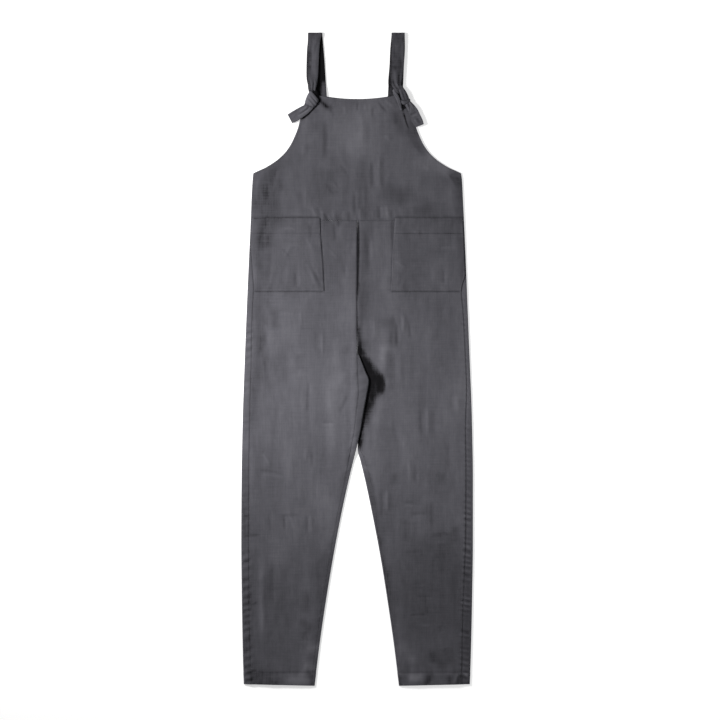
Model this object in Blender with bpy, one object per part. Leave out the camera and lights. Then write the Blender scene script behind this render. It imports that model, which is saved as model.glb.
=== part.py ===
"""Dungarees in charcoal linen with knotted shoulder straps, laid flat on their back.

Every panel is a closed wall of cloth. Lengths are in millimetres: x runs across the garment to
the wearer's left, down is the distance below the shoulder folds and z is the height above the
surface that the garment lies on. In the finished frame, in metres, +Y points to the shoulders,
+Z out of the front, and the origin lies under the middle of the garment.
"""

import collections
import math

import bmesh
import bpy
import numpy as np
from mathutils import Vector

MM = 0.001
LENGTH = 1436.6  # shoulder folds to the lowest point of the hems
COLLECTION = "dungarees"

# Cloth and seams
CLOTH = 1.2  # wall of one layer
HEM_CLOTH = 1.8  # wall where the cloth is turned up and stitched
STRAP_CLOTH = 2.0  # strap, made double
SEAM = 0.3  # gap between pieces that are sewn together
LOFT = 2.6  # height of the front layer above the back layer, from middle to middle
PRESSED = 1.55  # the same where the two layers lie tight
QUARTER = math.pi / 2
SHARP = math.radians(40)  # edges of the walls sharper than this are shaded as corners

# Landmarks, as distances below the shoulder folds
BIB_TOP = 147.4  # front neckline at the centre
BACK_TOP = 145.9  # back neckline at the centre, just above the front one
NECK_RISE = 5.7  # rise of both necklines at NECK_REACH from the centre
NECK_REACH = 68.2
UNDERARM = 309.8
POCKET_TOP = 407.7
WAIST = 413.2
POCKET_HEM = 441.8
POCKET_BOTTOM = 568.5
CROTCH = 705.0
FORK = 709.0  # where the two legs part, under the lap of the fork
FORK_END = 906.7  # where the lap of the fork ends
HEM_TOP = 1406.5
HEM_SLOPE = 0.023  # the hems run down a little towards the inner legs

SIDES = {"right": -1, "left": 1}  # the wearer's sides: the right one lies at -x


def table(columns, *rows):
    """A table with named columns, a row for each level of the garment."""
    return {name: np.array(column, float) for name, column in zip(columns.split(), zip(*rows))}


def at(levels, column, down):
    """A column of a table at any level, on a smooth curve that stays between its rows."""
    xs, ys = levels["down"], levels[column]
    if down <= xs[0] or down >= xs[-1]:
        return ys[0] if down <= xs[0] else ys[-1]
    i = int(np.searchsorted(xs, down, side="right")) - 1
    rise = np.diff(ys) / np.diff(xs)
    before, after = rise[max(i - 1, 0)], rise[min(i + 1, len(rise) - 1)]
    start, end = (2 * a * rise[i] / (a + rise[i]) if a * rise[i] > 0 else 0.0 for a in (before, after))
    step = xs[i + 1] - xs[i]
    t = (down - xs[i]) / step
    rows = (2 * t**3 - 3 * t**2 + 1) * ys[i] + (3 * t**2 - 2 * t**3) * ys[i + 1]
    return rows + step * ((t**3 - 2 * t**2 + t) * start + (t**3 - t**2) * end)


def ease(value):
    """0 below 0, 1 above 1, smooth between."""
    t = min(max(value, 0.0), 1.0)
    return t * t * (3 - 2 * t)


# Half width of the bib along the armholes
ARMHOLE = table(
    "down half",
    (136.0, 92.5),
    (152.5, 104.5),
    (165.7, 113.3),
    (178.9, 120.1),
    (192.1, 125.4),
    (209.7, 130.0),
    (227.3, 136.8),
    (244.9, 145.2),
    (262.5, 157.1),
    (280.1, 175.3),
    (288.9, 187.9),
    (297.7, 202.8),
    (306.5, 222.2),
    (309.8, 228.6),
)

# Outermost line of the garment below the underarms, from the centre
OUTER = table(
    "down right left",
    (309.8, 228.6, 228.6),
    (324.1, 230.0, 230.7),
    (368.1, 232.4, 232.9),
    (412.1, 234.0, 235.1),
    (500.1, 238.2, 239.0),
    (588.1, 242.1, 242.3),
    (720.1, 247.4, 247.6),
    (852.1, 251.8, 252.5),
    (984.1, 254.2, 254.7),
    (1116.0, 254.9, 254.7),
    (1248.0, 253.6, 252.9),
    (1380.0, 251.1, 249.8),
    (1436.0, 249.0, 247.6),
)

# Inner line of each leg below the fork, as x: the right leg laps over the left one down to
# FORK_END
INNER = table(
    "down right left",
    (709.0, 4.2, 1.2),
    (725.0, 10.5, 2.2),
    (745.0, 18.5, 2.4),
    (765.6, 26.0, 2.4),
    (797.0, 21.4, 2.4),
    (836.7, 14.0, 2.4),
    (875.0, 7.6, 2.2),
    (906.7, 0.3, 1.4),
    (918.0, -2.5, 1.4),
    (940.0, -8.0, 6.9),
    (984.0, -18.6, 17.5),
    (1072.0, -37.5, 36.0),
    (1160.0, -53.8, 52.5),
    (1248.0, -68.3, 66.5),
    (1336.0, -81.3, 79.5),
    (1436.0, -93.6, 92.1),
)

# The side seams lie on the front below the pockets, this far in from the outer fold
SIDE_SEAM = table(
    "down right left",
    (413.2, 0.0, 0.0),
    (450.0, 0.4, 0.0),
    (511.0, 7.3, 0.4),
    (530.0, 9.5, 1.8),
    (568.0, 13.6, 11.5),
    (619.0, 13.0, 9.0),
    (764.0, 15.2, 7.9),
    (872.0, 15.8, 13.4),
    (1105.0, 16.5, 15.3),
    (1297.0, 15.6, 19.1),
    (1436.0, 17.3, 18.0),
)

# The inseams also lie on the front, this far in from the inner fold
INSEAM = table(
    "down right left",
    (709.0, 3.2, 4.0),
    (732.0, 11.0, 4.0),
    (765.6, 23.0, 4.0),
    (797.0, 17.8, 4.0),
    (836.7, 15.5, 4.0),
    (875.0, 13.0, 4.0),
    (906.7, 11.8, 4.6),
    (935.0, 9.5, 9.2),
    (984.0, 7.5, 11.6),
    (1030.0, 7.0, 11.8),
    (1100.0, 6.6, 4.0),
    (1436.0, 6.6, 3.4),
)

# Beside the lap of the fork the left leg's front lies low, as far out as this
HOLLOW = table(
    "down x",
    (680.0, -14.0),
    (698.0, 8.0),
    (728.0, 30.0),
    (755.0, 50.0),
    (768.0, 54.0),
    (784.0, 50.0),
    (806.0, 37.0),
    (843.0, 22.0),
    (865.0, 12.0),
    (903.0, 0.0),
    (935.0, -14.0),
)
HOLLOW_BANK = 16.0  # width of the slope from the hollow up to the leg
HOLLOW_START = 25.0  # length over which it begins, above the crotch
HOLLOW_CENTRE = 20.0  # width over which it fades there towards the centre front

# Inner line of the patch pockets, from the centre
POCKET_SIDE = table(
    "down right left",
    (407.7, 82.4, 83.5),
    (441.8, 81.0, 81.2),
    (505.0, 76.0, 77.5),
    (568.5, 73.0, 75.2),
)
POCKET_MARGIN = 1.5  # from the side seam to the pocket's outer line
POCKET_LEAST = 4.0  # from the outer fold to the pocket's outer line

# The largest folds of the front, each along a straight line: half width and height
FOLDS = table(
    "x1 down1 x2 down2 half height",
    (0.0, 420.0, 0.0, 540.0, 9.0, -1.1),  # centre front, below the waist
    (0.0, 540.0, 0.0, 690.0, 6.0, -0.6),
    (-207.0, 357.0, -205.0, 470.0, 15.0, -1.0),  # through the right pocket's mouth
    (-186.0, 316.0, -203.0, 398.0, 15.0, -0.9),  # below the right armhole
    (33.0, 275.0, 32.0, 372.0, 14.0, -0.9),  # middle of the bib
    (-27.0, 240.0, -26.0, 400.0, 16.0, -0.7),
    (3.0, 250.0, 3.0, 400.0, 15.0, 0.8),
    (-92.0, 225.0, -100.0, 392.0, 24.0, 0.6),
    (104.0, 250.0, 118.0, 395.0, 24.0, 0.6),
    (226.0, 306.0, 190.0, 360.0, 14.0, 1.0),  # left underarm
    (46.0, 146.0, 70.0, 182.0, 9.0, -0.9),  # drawn from the left knot
    (80.0, 172.0, 92.0, 232.0, 11.0, -0.9),
    (82.0, 628.0, 106.0, 702.0, 12.0, -1.0),  # left thigh
    (-209.0, 585.0, -208.0, 812.0, 17.0, -1.0),  # right thigh
    (-150.0, 590.0, -140.0, 900.0, 26.0, 0.9),
    (-62.0, 585.0, -66.0, 860.0, 20.0, 0.7),
    (-100.0, 600.0, -98.0, 840.0, 14.0, -0.7),
    (128.0, 590.0, 136.0, 880.0, 26.0, 0.9),
    (190.0, 600.0, 196.0, 930.0, 20.0, -0.8),
    (104.0, 1032.0, 140.0, 1030.0, 13.0, -0.8),  # behind the knees
    (-188.0, 1062.0, -146.0, 1064.0, 13.0, -0.8),
    (-190.0, 960.0, -196.0, 1340.0, 22.0, 0.8),
    (-128.0, 940.0, -140.0, 1260.0, 18.0, -0.8),
    (130.0, 1060.0, 146.0, 1330.0, 20.0, -0.8),
    (200.0, 980.0, 194.0, 1340.0, 22.0, 0.8),
)
FOLD_ENDS = 0.28  # share of a fold's length over which it fades at either end
FOLD_FALL = 1.6  # how fast a fold falls off to its sides
PLUMP = 0.5  # how far the front stands up between its edges
EDGE_STRIP = 2.0  # width of the strip at every edge without folds
EDGE_RAMP = 22.0  # folds and plumpness fade over this width beside it

# Where the straps' back ends lie between bodice and bib, the bib stands over them
STRAP_END = {"inside": 58.0, "outside": 106.0, "down": 160.0, "rise": 1.5, "ramp": 20.0}

# Levels at which the panels are worked out
BIB_LEVELS = (
    152.5, 161.0, 170.0, 181.0, 194.0, 210.0, 227.0, 245.0, 262.0, 274.0, 284.0, 292.0, 299.0, 305.0,
)
BODICE_LEVELS = (UNDERARM, 330.0, 358.0, 386.0, POCKET_TOP, WAIST - SEAM / 2)
POCKET_LEVELS = (POCKET_HEM, 474.0, 505.0, 520.0, 537.0, 552.0, POCKET_BOTTOM)
LEG_LEVELS = (
    (WAIST + SEAM / 2,)
    + POCKET_LEVELS
    + (598.0, 632.0, 664.0, 688.0, CROTCH, FORK, 716.0, 725.0, 745.0, 765.6, 781.0, 797.0)
    + (836.7, 875.0, 895.0, FORK_END, 918.0, 940.0, 984.0, 1030.0, 1062.0, 1116.0, 1172.0)
    + (1228.0, 1284.0, 1340.0, HEM_TOP - 3.0, HEM_TOP, LENGTH)
)

# Columns of the panels
SIDE_STEPS = 3  # from a side seam to the pocket's outer line
POCKET_STEPS = 5  # across a pocket
CENTRE_STEPS = 4  # from a pocket to the centre front
POCKET_SHARE = 0.32  # place of the pocket's inner line across the leg below it
BODICE_STEPS = 10  # across the flat of the bodice's back
BACK_STEPS = 7  # across the flat of a leg's back
LAP_STEPS = 4  # of them where the right leg rises over the left one
SHORTEST = 0.22  # least distance between columns round a fold
TURN = (1.0, 0.5, 0.0, -0.5, -1.0)  # columns round a fold, as shares of a quarter turn

# The lap of the fork
LAP_RISE = 3.1  # height of the right leg over the left one
LAP_KNEE = 18.0  # distance from the centre at which the rise starts
LAP_TOP = 1.5  # distance from the centre at which it is complete
LAP_RAMP = 45.0  # length over which the lap starts, along the garment
LAP_END_RAMP = 36.0  # length over which it ends
LAP_MARGIN = 0.5  # from the last column of the rise to the inner fold

BACK_ARMHOLE = 2.0  # how far the back's armholes lie inside those of the bib
POCKET_GAPE = 0.8  # height of the pocket's mouth
HEM_LOW = 93.0  # the hems are lowest at this distance from the centre

LINEN = {"colour": (0.098, 0.096, 0.107, 1.0), "roughness": 0.9}


# ---- the lie of the cloth -------------------------------------------------------------------


def window(along):
    """1 along the middle of a fold, fading to 0 at its two ends."""
    return ease(along / FOLD_ENDS) * ease((1 - along) / FOLD_ENDS)


def folds(x, down):
    """Height of the folds and the plumpness of the front at a point."""
    height = PLUMP
    for x1, d1, x2, d2, half, rise in zip(*FOLDS.values()):
        run = np.array([x2 - x1, d2 - d1])
        length = float(np.hypot(*run))
        offset = np.array([x - x1, down - d1])
        along = float(offset @ run) / length**2
        across = abs(float(offset[0] * run[1] - offset[1] * run[0])) / length
        if 0 < along < 1 and across < 2 * half:
            height += rise * math.exp(-FOLD_FALL * (across / half) ** 2) * window(along)
    return height


def over_strap_end(x, down):
    """Extra height of the bib where a strap's back end lies under it."""
    ramp = STRAP_END["ramp"]
    across = ease((abs(x) - STRAP_END["inside"] + ramp) / ramp)
    across *= ease((STRAP_END["outside"] + ramp - abs(x)) / ramp)
    return STRAP_END["rise"] * across * ease((STRAP_END["down"] + 2 * ramp - down) / (2 * ramp))


def lap(name, x, down):
    """How high the right leg's inner part lies, down from the fork, over the left leg."""
    if name == "left":
        return 0.0
    start = ease((down - CROTCH + LAP_RAMP) / LAP_RAMP)
    end = ease((FORK_END + LAP_RAMP - down) / LAP_END_RAMP)
    return LAP_RISE * start * end * ease((x + LAP_KNEE) / (LAP_KNEE - LAP_TOP))


def cloth_at(down):
    """Thickness of one layer of a leg: the hems are turned up."""
    return HEM_CLOTH if down >= HEM_TOP else CLOTH


def back_height(name, x, down):
    """Middle of the back layer."""
    return cloth_at(down) / 2 + (lap(name, x, down) if down >= FORK else 0.0)


def loft(name, x, down):
    """Height of the front layer above the back layer, without the folds."""
    if name == "right" or not HOLLOW["down"][0] < down < HOLLOW["down"][-1]:
        return LOFT
    sunk = 1 - ease((x - at(HOLLOW, "x", down)) / HOLLOW_BANK)
    if down <= CROTCH:
        sunk *= ease((down - HOLLOW["down"][0]) / HOLLOW_START) * ease(x / HOLLOW_CENTRE)
    return LOFT - (LOFT - PRESSED) * sunk


def front_height(name, x, down):
    """Middle of the front layer."""
    edge = at(OUTER, name, down) if down > UNDERARM else at(ARMHOLE, "half", down)
    ramp = ease((edge - abs(x) - EDGE_STRIP) / EDGE_RAMP)
    height = CLOTH / 2 + loft(name, x, down)
    if down > CROTCH:
        inset = SIDES[name] * (x - at(INNER, name, down))
        ramp *= ease((inset - EDGE_STRIP) / EDGE_RAMP)
        height += lap(name, x, down)
    else:
        height += lap("right", -abs(x), down) / 2
    ramp *= ease((loft(name, x, down) - PRESSED) / (LOFT - PRESSED))
    height += folds(x, down) * ramp + over_strap_end(x, down)
    return max(height, CLOTH / 2 + PRESSED)


# A point of a wall: its place, the way its outer side faces, and the wall's thickness there
Point = collections.namedtuple("Point", "x down z normal thick")


def front_point(name, x, down):
    """Point of the front, away from its edges."""
    return Point(x, down, front_height(name, x, down), (0.0, 0.0, 1.0), cloth_at(down))


def back_point(name, x, down):
    """Point of the back, away from its edges."""
    return Point(x, down, back_height(name, x, down), (0.0, 0.0, -1.0), cloth_at(down))


def fold_point(name, edge, facing, layers, down, s):
    """Point of the section of a fold between back and front.

    edge is the x of the fold's outermost point, facing the way it points along x, layers the
    height of front over back there, and s the distance along the section from that point, more
    than 0 on the front.
    """
    radius = layers / 2
    angle = min(max(s / radius, -QUARTER), QUARTER)
    run = max(abs(s) - radius * QUARTER, 0.0)
    x = edge - facing * (radius + run - radius * math.cos(angle))
    if s > radius * QUARTER:
        return front_point(name, x, down)
    if s < -radius * QUARTER:
        return back_point(name, x, down)
    z = back_height(name, edge, down) + radius + radius * math.sin(angle)
    return Point(x, down, z, (facing * math.cos(angle), 0.0, math.sin(angle)), cloth_at(down))


def side_point(name, down, s):
    """Point of the fold at a side of the body, s from its outermost point."""
    edge = SIDES[name] * (at(OUTER, name, down) - CLOTH / 2)
    return fold_point(name, edge, SIDES[name], side_layers(down), down, s)


def side_layers(down):
    """Height of front over back at the sides, less where the hems are thick."""
    return LOFT - (cloth_at(down) - CLOTH)


def inner_point(name, down, s):
    """Point of the fold at the inner side of a leg, s from its outermost point."""
    edge = at(INNER, name, down) + SIDES[name] * CLOTH / 2
    return fold_point(name, edge, -SIDES[name], inner_layers(name, down), down, s)


def inner_layers(name, down):
    """Height of front over back at the inner side of a leg."""
    return loft(name, at(INNER, name, down), down) - (cloth_at(down) - CLOTH)


def on_path(inset, layers=LOFT):
    """Distance along a fold's section to a place on the front, this far in from the fold."""
    return inset + layers / 2 * (QUARTER - 1) if inset > layers / 2 else inset


# ---- walls ----------------------------------------------------------------------------------


def linen(name):
    """Charcoal linen, in a material of its own for each piece."""
    material = bpy.data.materials.new(name + "_linen")
    material.use_nodes = True
    shader = material.node_tree.nodes["Principled BSDF"]
    shader.inputs["Base Color"].default_value = LINEN["colour"]
    shader.inputs["Roughness"].default_value = LINEN["roughness"]
    shader.inputs["Metallic"].default_value = 0.0
    return material


def wall(name, rows):
    """A closed wall of cloth around rows of points. A short row leaves out its last columns."""
    bm = bmesh.new()
    outer, inner = {}, {}
    for i, row in enumerate(rows):
        for j, point in enumerate(row):
            place = Vector((point.x, LENGTH / 2 - point.down, point.z))
            across, along, up = point.normal
            half = Vector((across, -along, up)).normalized() * point.thick / 2
            outer[i, j] = bm.verts.new((place + half) * MM)
            inner[i, j] = bm.verts.new((place - half) * MM)
    border = set()
    for i in range(len(rows) - 1):
        for j in range(min(len(rows[i]), len(rows[i + 1])) - 1):
            corners = [(i, j), (i + 1, j), (i + 1, j + 1), (i, j + 1)]
            for half in (corners[:3], [corners[0]] + corners[2:]):
                bm.faces.new([outer[corner] for corner in half])
                bm.faces.new([inner[corner] for corner in reversed(half)])
            for edge in zip(corners, corners[1:] + corners[:1]):
                if edge[::-1] in border:
                    border.remove(edge[::-1])
                else:
                    border.add(edge)
    for one, two in sorted(border):
        bm.faces.new([outer[two], outer[one], inner[one], inner[two]])
    bmesh.ops.delete(bm, geom=[v for v in bm.verts if not v.link_faces], context="VERTS")
    if bm.calc_volume(signed=True) < 0:
        bmesh.ops.reverse_faces(bm, faces=bm.faces)
    mesh = bpy.data.meshes.new(name)
    bm.to_mesh(mesh)
    bm.free()
    mesh.shade_smooth()
    mesh.set_sharp_from_angle(angle=SHARP)
    mesh.materials.append(linen(name))
    piece = bpy.data.objects.new(name, mesh)
    bpy.data.collections[COLLECTION].objects.link(piece)


# ---- panels ---------------------------------------------------------------------------------


def front_half(name, down):
    """Points of one half of the front at one level, from the side seam to the centre seam, or
    below the crotch to the inseam."""
    side = SIDES[name]
    seam = at(SIDE_SEAM, name, down)
    start = on_path(seam) + SEAM / 2
    pocket_line = on_path(max(POCKET_LEAST, seam + POCKET_MARGIN))
    points = [side_point(name, down, s) for s in np.linspace(start, pocket_line, SIDE_STEPS + 1)]
    outside, inside = points[-1].x, side * SEAM / 2
    if down > CROTCH:
        inseam = on_path(at(INSEAM, name, down), inner_layers(name, down)) + SEAM / 2
        inside = inner_point(name, down, inseam).x
    if down <= POCKET_BOTTOM:
        pocket_side = side * at(POCKET_SIDE, name, down)
    else:
        pocket_side = inside + (outside - inside) * POCKET_SHARE
    across = list(np.linspace(outside, pocket_side, POCKET_STEPS + 1)[1:])
    across += list(np.linspace(pocket_side, inside, CENTRE_STEPS + 1)[1:])
    return points + [front_point(name, x, down) for x in across]


def bib_half(name, down):
    """Points of one half of the bib at one level, from the armhole to the centre, spread as
    they are at the underarm. At no level they follow the neckline."""
    widest = [abs(point.x) for point in front_half(name, UNDERARM)]
    half = SIDES[name] * at(ARMHOLE, "half", down or ARMHOLE["down"][0])
    xs = [half * x / widest[0] for x in widest[:-1]] + [0.0]
    return [front_point(name, x, down or neckline(x, BIB_TOP)) for x in xs]


def across_body(halves):
    """One row of the bodice from the wearer's right side to the left, one point at the centre."""
    centre = halves["right"][-1]._replace(x=0.0)
    return halves["right"][:-1] + [centre] + halves["left"][-2::-1]


def neckline(x, centre):
    """Level of a neckline at x."""
    return centre - NECK_RISE * (x / NECK_REACH) ** 2


def bib_front():
    """Front from the neckline to the waist seam, one panel with its armholes."""
    rows = []
    for down in (None,) + BIB_LEVELS:
        rows.append(across_body({name: bib_half(name, down) for name in SIDES}))
    for down in BODICE_LEVELS:
        rows.append(across_body({name: front_half(name, down) for name in SIDES}))
    wall("bib_front", rows)


def bodice_back():
    """Back from its neckline to the waist seam, one panel, flat on the ground."""
    rows = []
    for down in (None,) + BIB_LEVELS:
        half = at(ARMHOLE, "half", down or ARMHOLE["down"][0]) - BACK_ARMHOLE
        turned = [half - k * SHORTEST for k in range(SIDE_STEPS)]
        flat_half = half - SIDE_STEPS * SHORTEST
        flat = np.linspace(flat_half, -flat_half, BODICE_STEPS + 1)
        xs = turned + list(flat) + [-x for x in reversed(turned)]
        rows.append([back_point("right", x, down or neckline(x, BACK_TOP)) for x in xs])
    turns = np.linspace(-SEAM / 2, -LOFT / 2 * QUARTER, SIDE_STEPS + 1)
    for down in BODICE_LEVELS:
        turned = {name: [side_point(name, down, s) for s in turns] for name in SIDES}
        flat = np.linspace(turned["left"][-1].x, turned["right"][-1].x, BODICE_STEPS + 1)[1:-1]
        middle = [back_point("right", x, down) for x in flat]
        rows.append(turned["left"] + middle + turned["right"][::-1])
    wall("bodice_back", rows)


def leg_rows(row_at):
    """Rows of a leg panel from the waist seam to the hem, whose edge runs down inwards."""
    rows = [row_at(down) for down in LEG_LEVELS]
    rows[-1] = [p._replace(down=p.down - HEM_SLOPE * (abs(p.x) - HEM_LOW)) for p in rows[-1]]
    return rows


def leg_front(name):
    """Front of one leg with its half of the centre front seam."""
    wall("leg_front_" + name, leg_rows(lambda down: front_half(name, down)))


def leg_back(name):
    """Back of one leg. It comes round the outer fold to the side seam and, below the fork,
    round the inner fold to the inseam. There the right one laps over the left leg."""
    wall("leg_back_" + name, leg_rows(lambda down: back_half(name, down)))


def back_half(name, down):
    """Points of one half of the back at one level, from the side seam to the centre seam, or
    below the crotch round to the inseam."""
    side = SIDES[name]
    arc = side_layers(down) / 2 * QUARTER
    start = on_path(at(SIDE_SEAM, name, down)) - SEAM / 2
    turns = [start] + [min(start - k * SHORTEST, arc * turn) for k, turn in enumerate(TURN, 1)]
    points = [side_point(name, down, s) for s in turns]
    if down <= CROTCH:
        ending = [back_point(name, side * SEAM / 2, down)]
    else:
        arc = inner_layers(name, down) / 2 * QUARTER
        inseam = on_path(at(INSEAM, name, down), inner_layers(name, down)) - SEAM / 2
        turns = [arc * turn for turn in reversed(TURN)] + [inseam]
        ending = [inner_point(name, down, s) for s in turns]
    flat = np.linspace(points[-1].x, ending[0].x, BACK_STEPS + 1)[1:-1]
    if name == "right" and POCKET_BOTTOM < down <= FORK_END + LAP_RAMP:
        low = np.linspace(points[-1].x, -LAP_KNEE, BACK_STEPS - LAP_STEPS + 1)[1:-1]
        rising = np.linspace(-LAP_KNEE, ending[0].x - LAP_MARGIN, LAP_STEPS)
        flat = np.append(low, rising)
    return points + [back_point(name, x, down) for x in flat] + ending


def pocket(name):
    """Patch pocket, made from the points of the front that it lies on, moved out. Its mouth
    has a deep hem and gapes a little."""
    rows = []
    for down in (POCKET_TOP, WAIST) + POCKET_LEVELS:
        thick = HEM_CLOTH if down <= POCKET_HEM else CLOTH
        row = []
        under = front_half(name, down)[SIDE_STEPS : SIDE_STEPS + POCKET_STEPS + 1]
        for k, point in enumerate(under):
            gape = POCKET_GAPE * math.sin(math.pi * k / POCKET_STEPS) if down == POCKET_TOP else 0.0
            out = (point.thick + thick) / 2 + SEAM + gape
            row.append(point._replace(z=point.z + out, thick=thick))
        rows.append(row)
    wall("pocket_" + name, rows)


# ---- straps and knots -----------------------------------------------------------------------

# The back run of each strap goes up from inside the bodice to the shoulder fold
BACK_RUN = {
    "right": table(
        "down middle half z thick",
        (6.0, -92.6, 15.5, 1.0, 2.0),
        (38.0, -89.4, 16.0, 1.0, 2.0),
        (104.0, -85.6, 16.5, 1.0, 2.0),
        (118.0, -84.6, 16.5, 1.0, 2.0),
        (131.0, -83.8, 16.5, 2.6, 2.0),
        (158.0, -82.0, 16.5, 2.6, 2.0),
    ),
    "left": table(
        "down middle half z thick",
        (6.0, 90.2, 14.6, 1.0, 2.0),
        (38.0, 89.4, 15.6, 1.0, 2.0),
        (104.0, 85.4, 16.2, 1.0, 2.0),
        (118.0, 84.8, 16.2, 1.0, 2.0),
        (131.0, 84.2, 16.2, 2.6, 2.0),
        (158.0, 83.0, 16.2, 2.6, 2.0),
    ),
}

# The front run comes down from the shoulder fold and is drawn together into the knot. The last
# row is cut along the knot: slant is how much further down its end lies at the wearer's left.
FRONT_RUN = {
    "right": table(
        "down middle half z thick slant",
        (6.0, -92.6, 15.5, 4.8, 2.0, 0.0),
        (39.6, -96.2, 13.3, 4.4, 2.0, 0.0),
        (64.5, -97.5, 12.9, 4.4, 2.0, 0.0),
        (99.7, -98.3, 12.0, 5.2, 2.4, 0.0),
        (114.0, -98.8, 8.8, 6.4, 3.2, 2.0),
        (131.3, -98.2, 5.6, 7.6, 4.0, 15.0),
    ),
    "left": table(
        "down middle half z thick slant",
        (6.0, 90.2, 14.6, 4.8, 2.0, 0.0),
        (38.0, 90.0, 14.6, 4.4, 2.0, 0.0),
        (71.0, 88.8, 14.0, 4.4, 2.0, 0.0),
        (99.7, 87.7, 13.2, 5.2, 2.4, 0.0),
        (112.0, 87.4, 11.0, 6.4, 3.2, -1.0),
        (125.2, 87.8, 8.8, 7.6, 4.0, -8.2),
    ),
}
STRAP_ACROSS = (-1.0, -0.6, 0.0, 0.6, 1.0)  # points across a strap, as shares of half its width
STRAP_CROWN = 0.5  # how far the middle of a strap stands up from its edges
STRAP_TURN = (-60, -30, 0, 30, 60)  # points round the shoulder fold, in degrees
SHOULDER = 6.0  # level at which the straps begin to turn over
CROWN_RAMP = 30.0  # length over which the front run rounds up, below it
BACK_RUN_LEVELS = (158.0, 144.0, 131.0, 124.0, 118.0, 100.0, 78.0, 56.0, 34.0, 14.0, SHOULDER)
FRONT_RUN_LEVELS = (SHOULDER, 14.0, 34.0, 54.0, 72.0, 88.0, 100.0, 107.0, 114.0, 120.0)


def strap(name):
    """Shoulder strap, made double: its back run lies under its front run, and its back end is
    sewn inside the bodice."""
    back, front = BACK_RUN[name], FRONT_RUN[name]
    low, high = back["z"][0], front["z"][0]
    radius = (high - low) / 2
    centre = STRAP_CLOTH / 2 + radius
    rows = []

    def row(run, level, down, z, crown, normal):
        middle, half = at(run, "middle", level), at(run, "half", level)
        slant = at(run, "slant", level) if "slant" in run else 0.0
        points = []
        for share in STRAP_ACROSS:
            height = z + crown * (1 - share**2)
            place = down + slant * share / 2
            thick = at(run, "thick", level)
            points.append(Point(middle + share * half, place, height, normal, thick))
        rows.append(points)

    for down in BACK_RUN_LEVELS:
        row(back, down, down, at(back, "z", down), 0.0, (0.0, 0.0, -1.0))
    for turn in STRAP_TURN:
        angle = math.radians(turn)
        run = front if turn > 0 else back
        height = (low + high) / 2 + radius * math.sin(angle)
        normal = (0.0, -math.cos(angle), math.sin(angle))
        row(run, SHOULDER, centre - radius * math.cos(angle), height, 0.0, normal)
    for down in FRONT_RUN_LEVELS + (front["down"][-1],):
        crown = STRAP_CROWN * ease((down - SHOULDER) / CROWN_RAMP)
        row(front, down, down, at(front, "z", down), crown, (0.0, 0.0, 1.0))
    wall("strap_" + name, rows)


# Corners of the knots as x and down: the band of cloth runs over the knot from its first side
# to its second one
KNOTS = {
    "right": table(
        "x down",
        (-103.0, 125.6),
        (-115.0, 156.0),
        (-96.5, 166.4),
        (-84.4, 150.4),
    ),
    "left": table(
        "x down",
        (78.6, 130.0),
        (96.4, 168.0),
        (114.8, 151.0),
        (101.0, 119.6),
    ),
}
KNOT_BASE = 5.75  # height of a knot's underside, on the bib's corner
KNOT_RIM = 3.0  # thickness at its edge
KNOT_DOME = 8.5  # further height of its middle
KNOT_STEPS = 8
KNOT_ROUNDING = 0.06  # how far its outline draws in towards the corners
KNOT_SQUARENESS = 2.6  # 2 would make its dome round
KNOT_GATHERS = 3
KNOT_GROOVE = 0.16  # depth of a gather, as a share of the thickness


def knot(name):
    """Knot at a corner of the bib. Its hidden turns are one rounded solid, and the band over it
    is gathered."""
    xs, downs = KNOTS[name]["x"], KNOTS[name]["down"]
    rows = []
    shares = np.linspace(-1, 1, KNOT_STEPS + 1)
    for along in shares:
        row = []
        for over in shares:
            u = (1 + along * (1 - KNOT_ROUNDING * over**2)) / 2
            v = (1 + over * (1 - KNOT_ROUNDING * along**2)) / 2
            weights = np.array([(1 - u) * (1 - v), u * (1 - v), u * v, (1 - u) * v])
            fall = (1 - abs(along) ** KNOT_SQUARENESS) * (1 - abs(over) ** KNOT_SQUARENESS)
            dome = math.sqrt(max(fall, 0))
            groove = 1 - KNOT_GROOVE * math.cos(math.pi * KNOT_GATHERS * along) ** 2
            thick = KNOT_RIM + KNOT_DOME * dome * groove
            place = (float(weights @ xs), float(weights @ downs), KNOT_BASE + thick / 2)
            row.append(Point(*place, (0.0, 0.0, 1.0), thick))
        rows.append(row)
    wall("knot_" + name, rows)


# The free ends of the straps: outer and inner line, height and thickness from the knot out
TIE_ENDS = {
    "right": table(
        "x1 down1 x2 down2 z thick",
        (-115.4, 156.2, -97.0, 166.6, 7.4, 3.0),
        (-121.0, 162.0, -109.5, 177.5, 6.9, 2.8),
        (-129.0, 167.2, -122.5, 187.5, 5.9, 2.6),
        (-140.5, 174.5, -132.0, 193.5, 4.6, 2.4),
        (-151.4, 181.6, -141.0, 198.6, 3.6, 2.4),
    ),
    "left": table(
        "x1 down1 x2 down2 z thick",
        (115.2, 151.1, 97.6, 167.4, 7.4, 3.0),
        (127.6, 164.4, 108.0, 174.6, 7.0, 2.8),
        (132.8, 173.0, 113.4, 181.4, 6.6, 2.6),
        (136.8, 182.6, 119.6, 190.4, 6.2, 2.4),
        (144.0, 199.6, 129.8, 207.2, 5.8, 2.4),
    ),
}


def tie_end(name):
    """Free end of a strap, beyond its knot."""
    rows = []
    for x1, down1, x2, down2, z, thick in zip(*TIE_ENDS[name].values()):
        row = []
        for share in STRAP_ACROSS:
            t = (1 + share) / 2
            crown = STRAP_CROWN * (1 - share**2)
            place = (x1 + (x2 - x1) * t, down1 + (down2 - down1) * t, z + crown)
            row.append(Point(*place, (0.0, 0.0, 1.0), thick))
        rows.append(row)
    wall("tie_end_" + name, rows)


# ---- the garment ----------------------------------------------------------------------------

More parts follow.
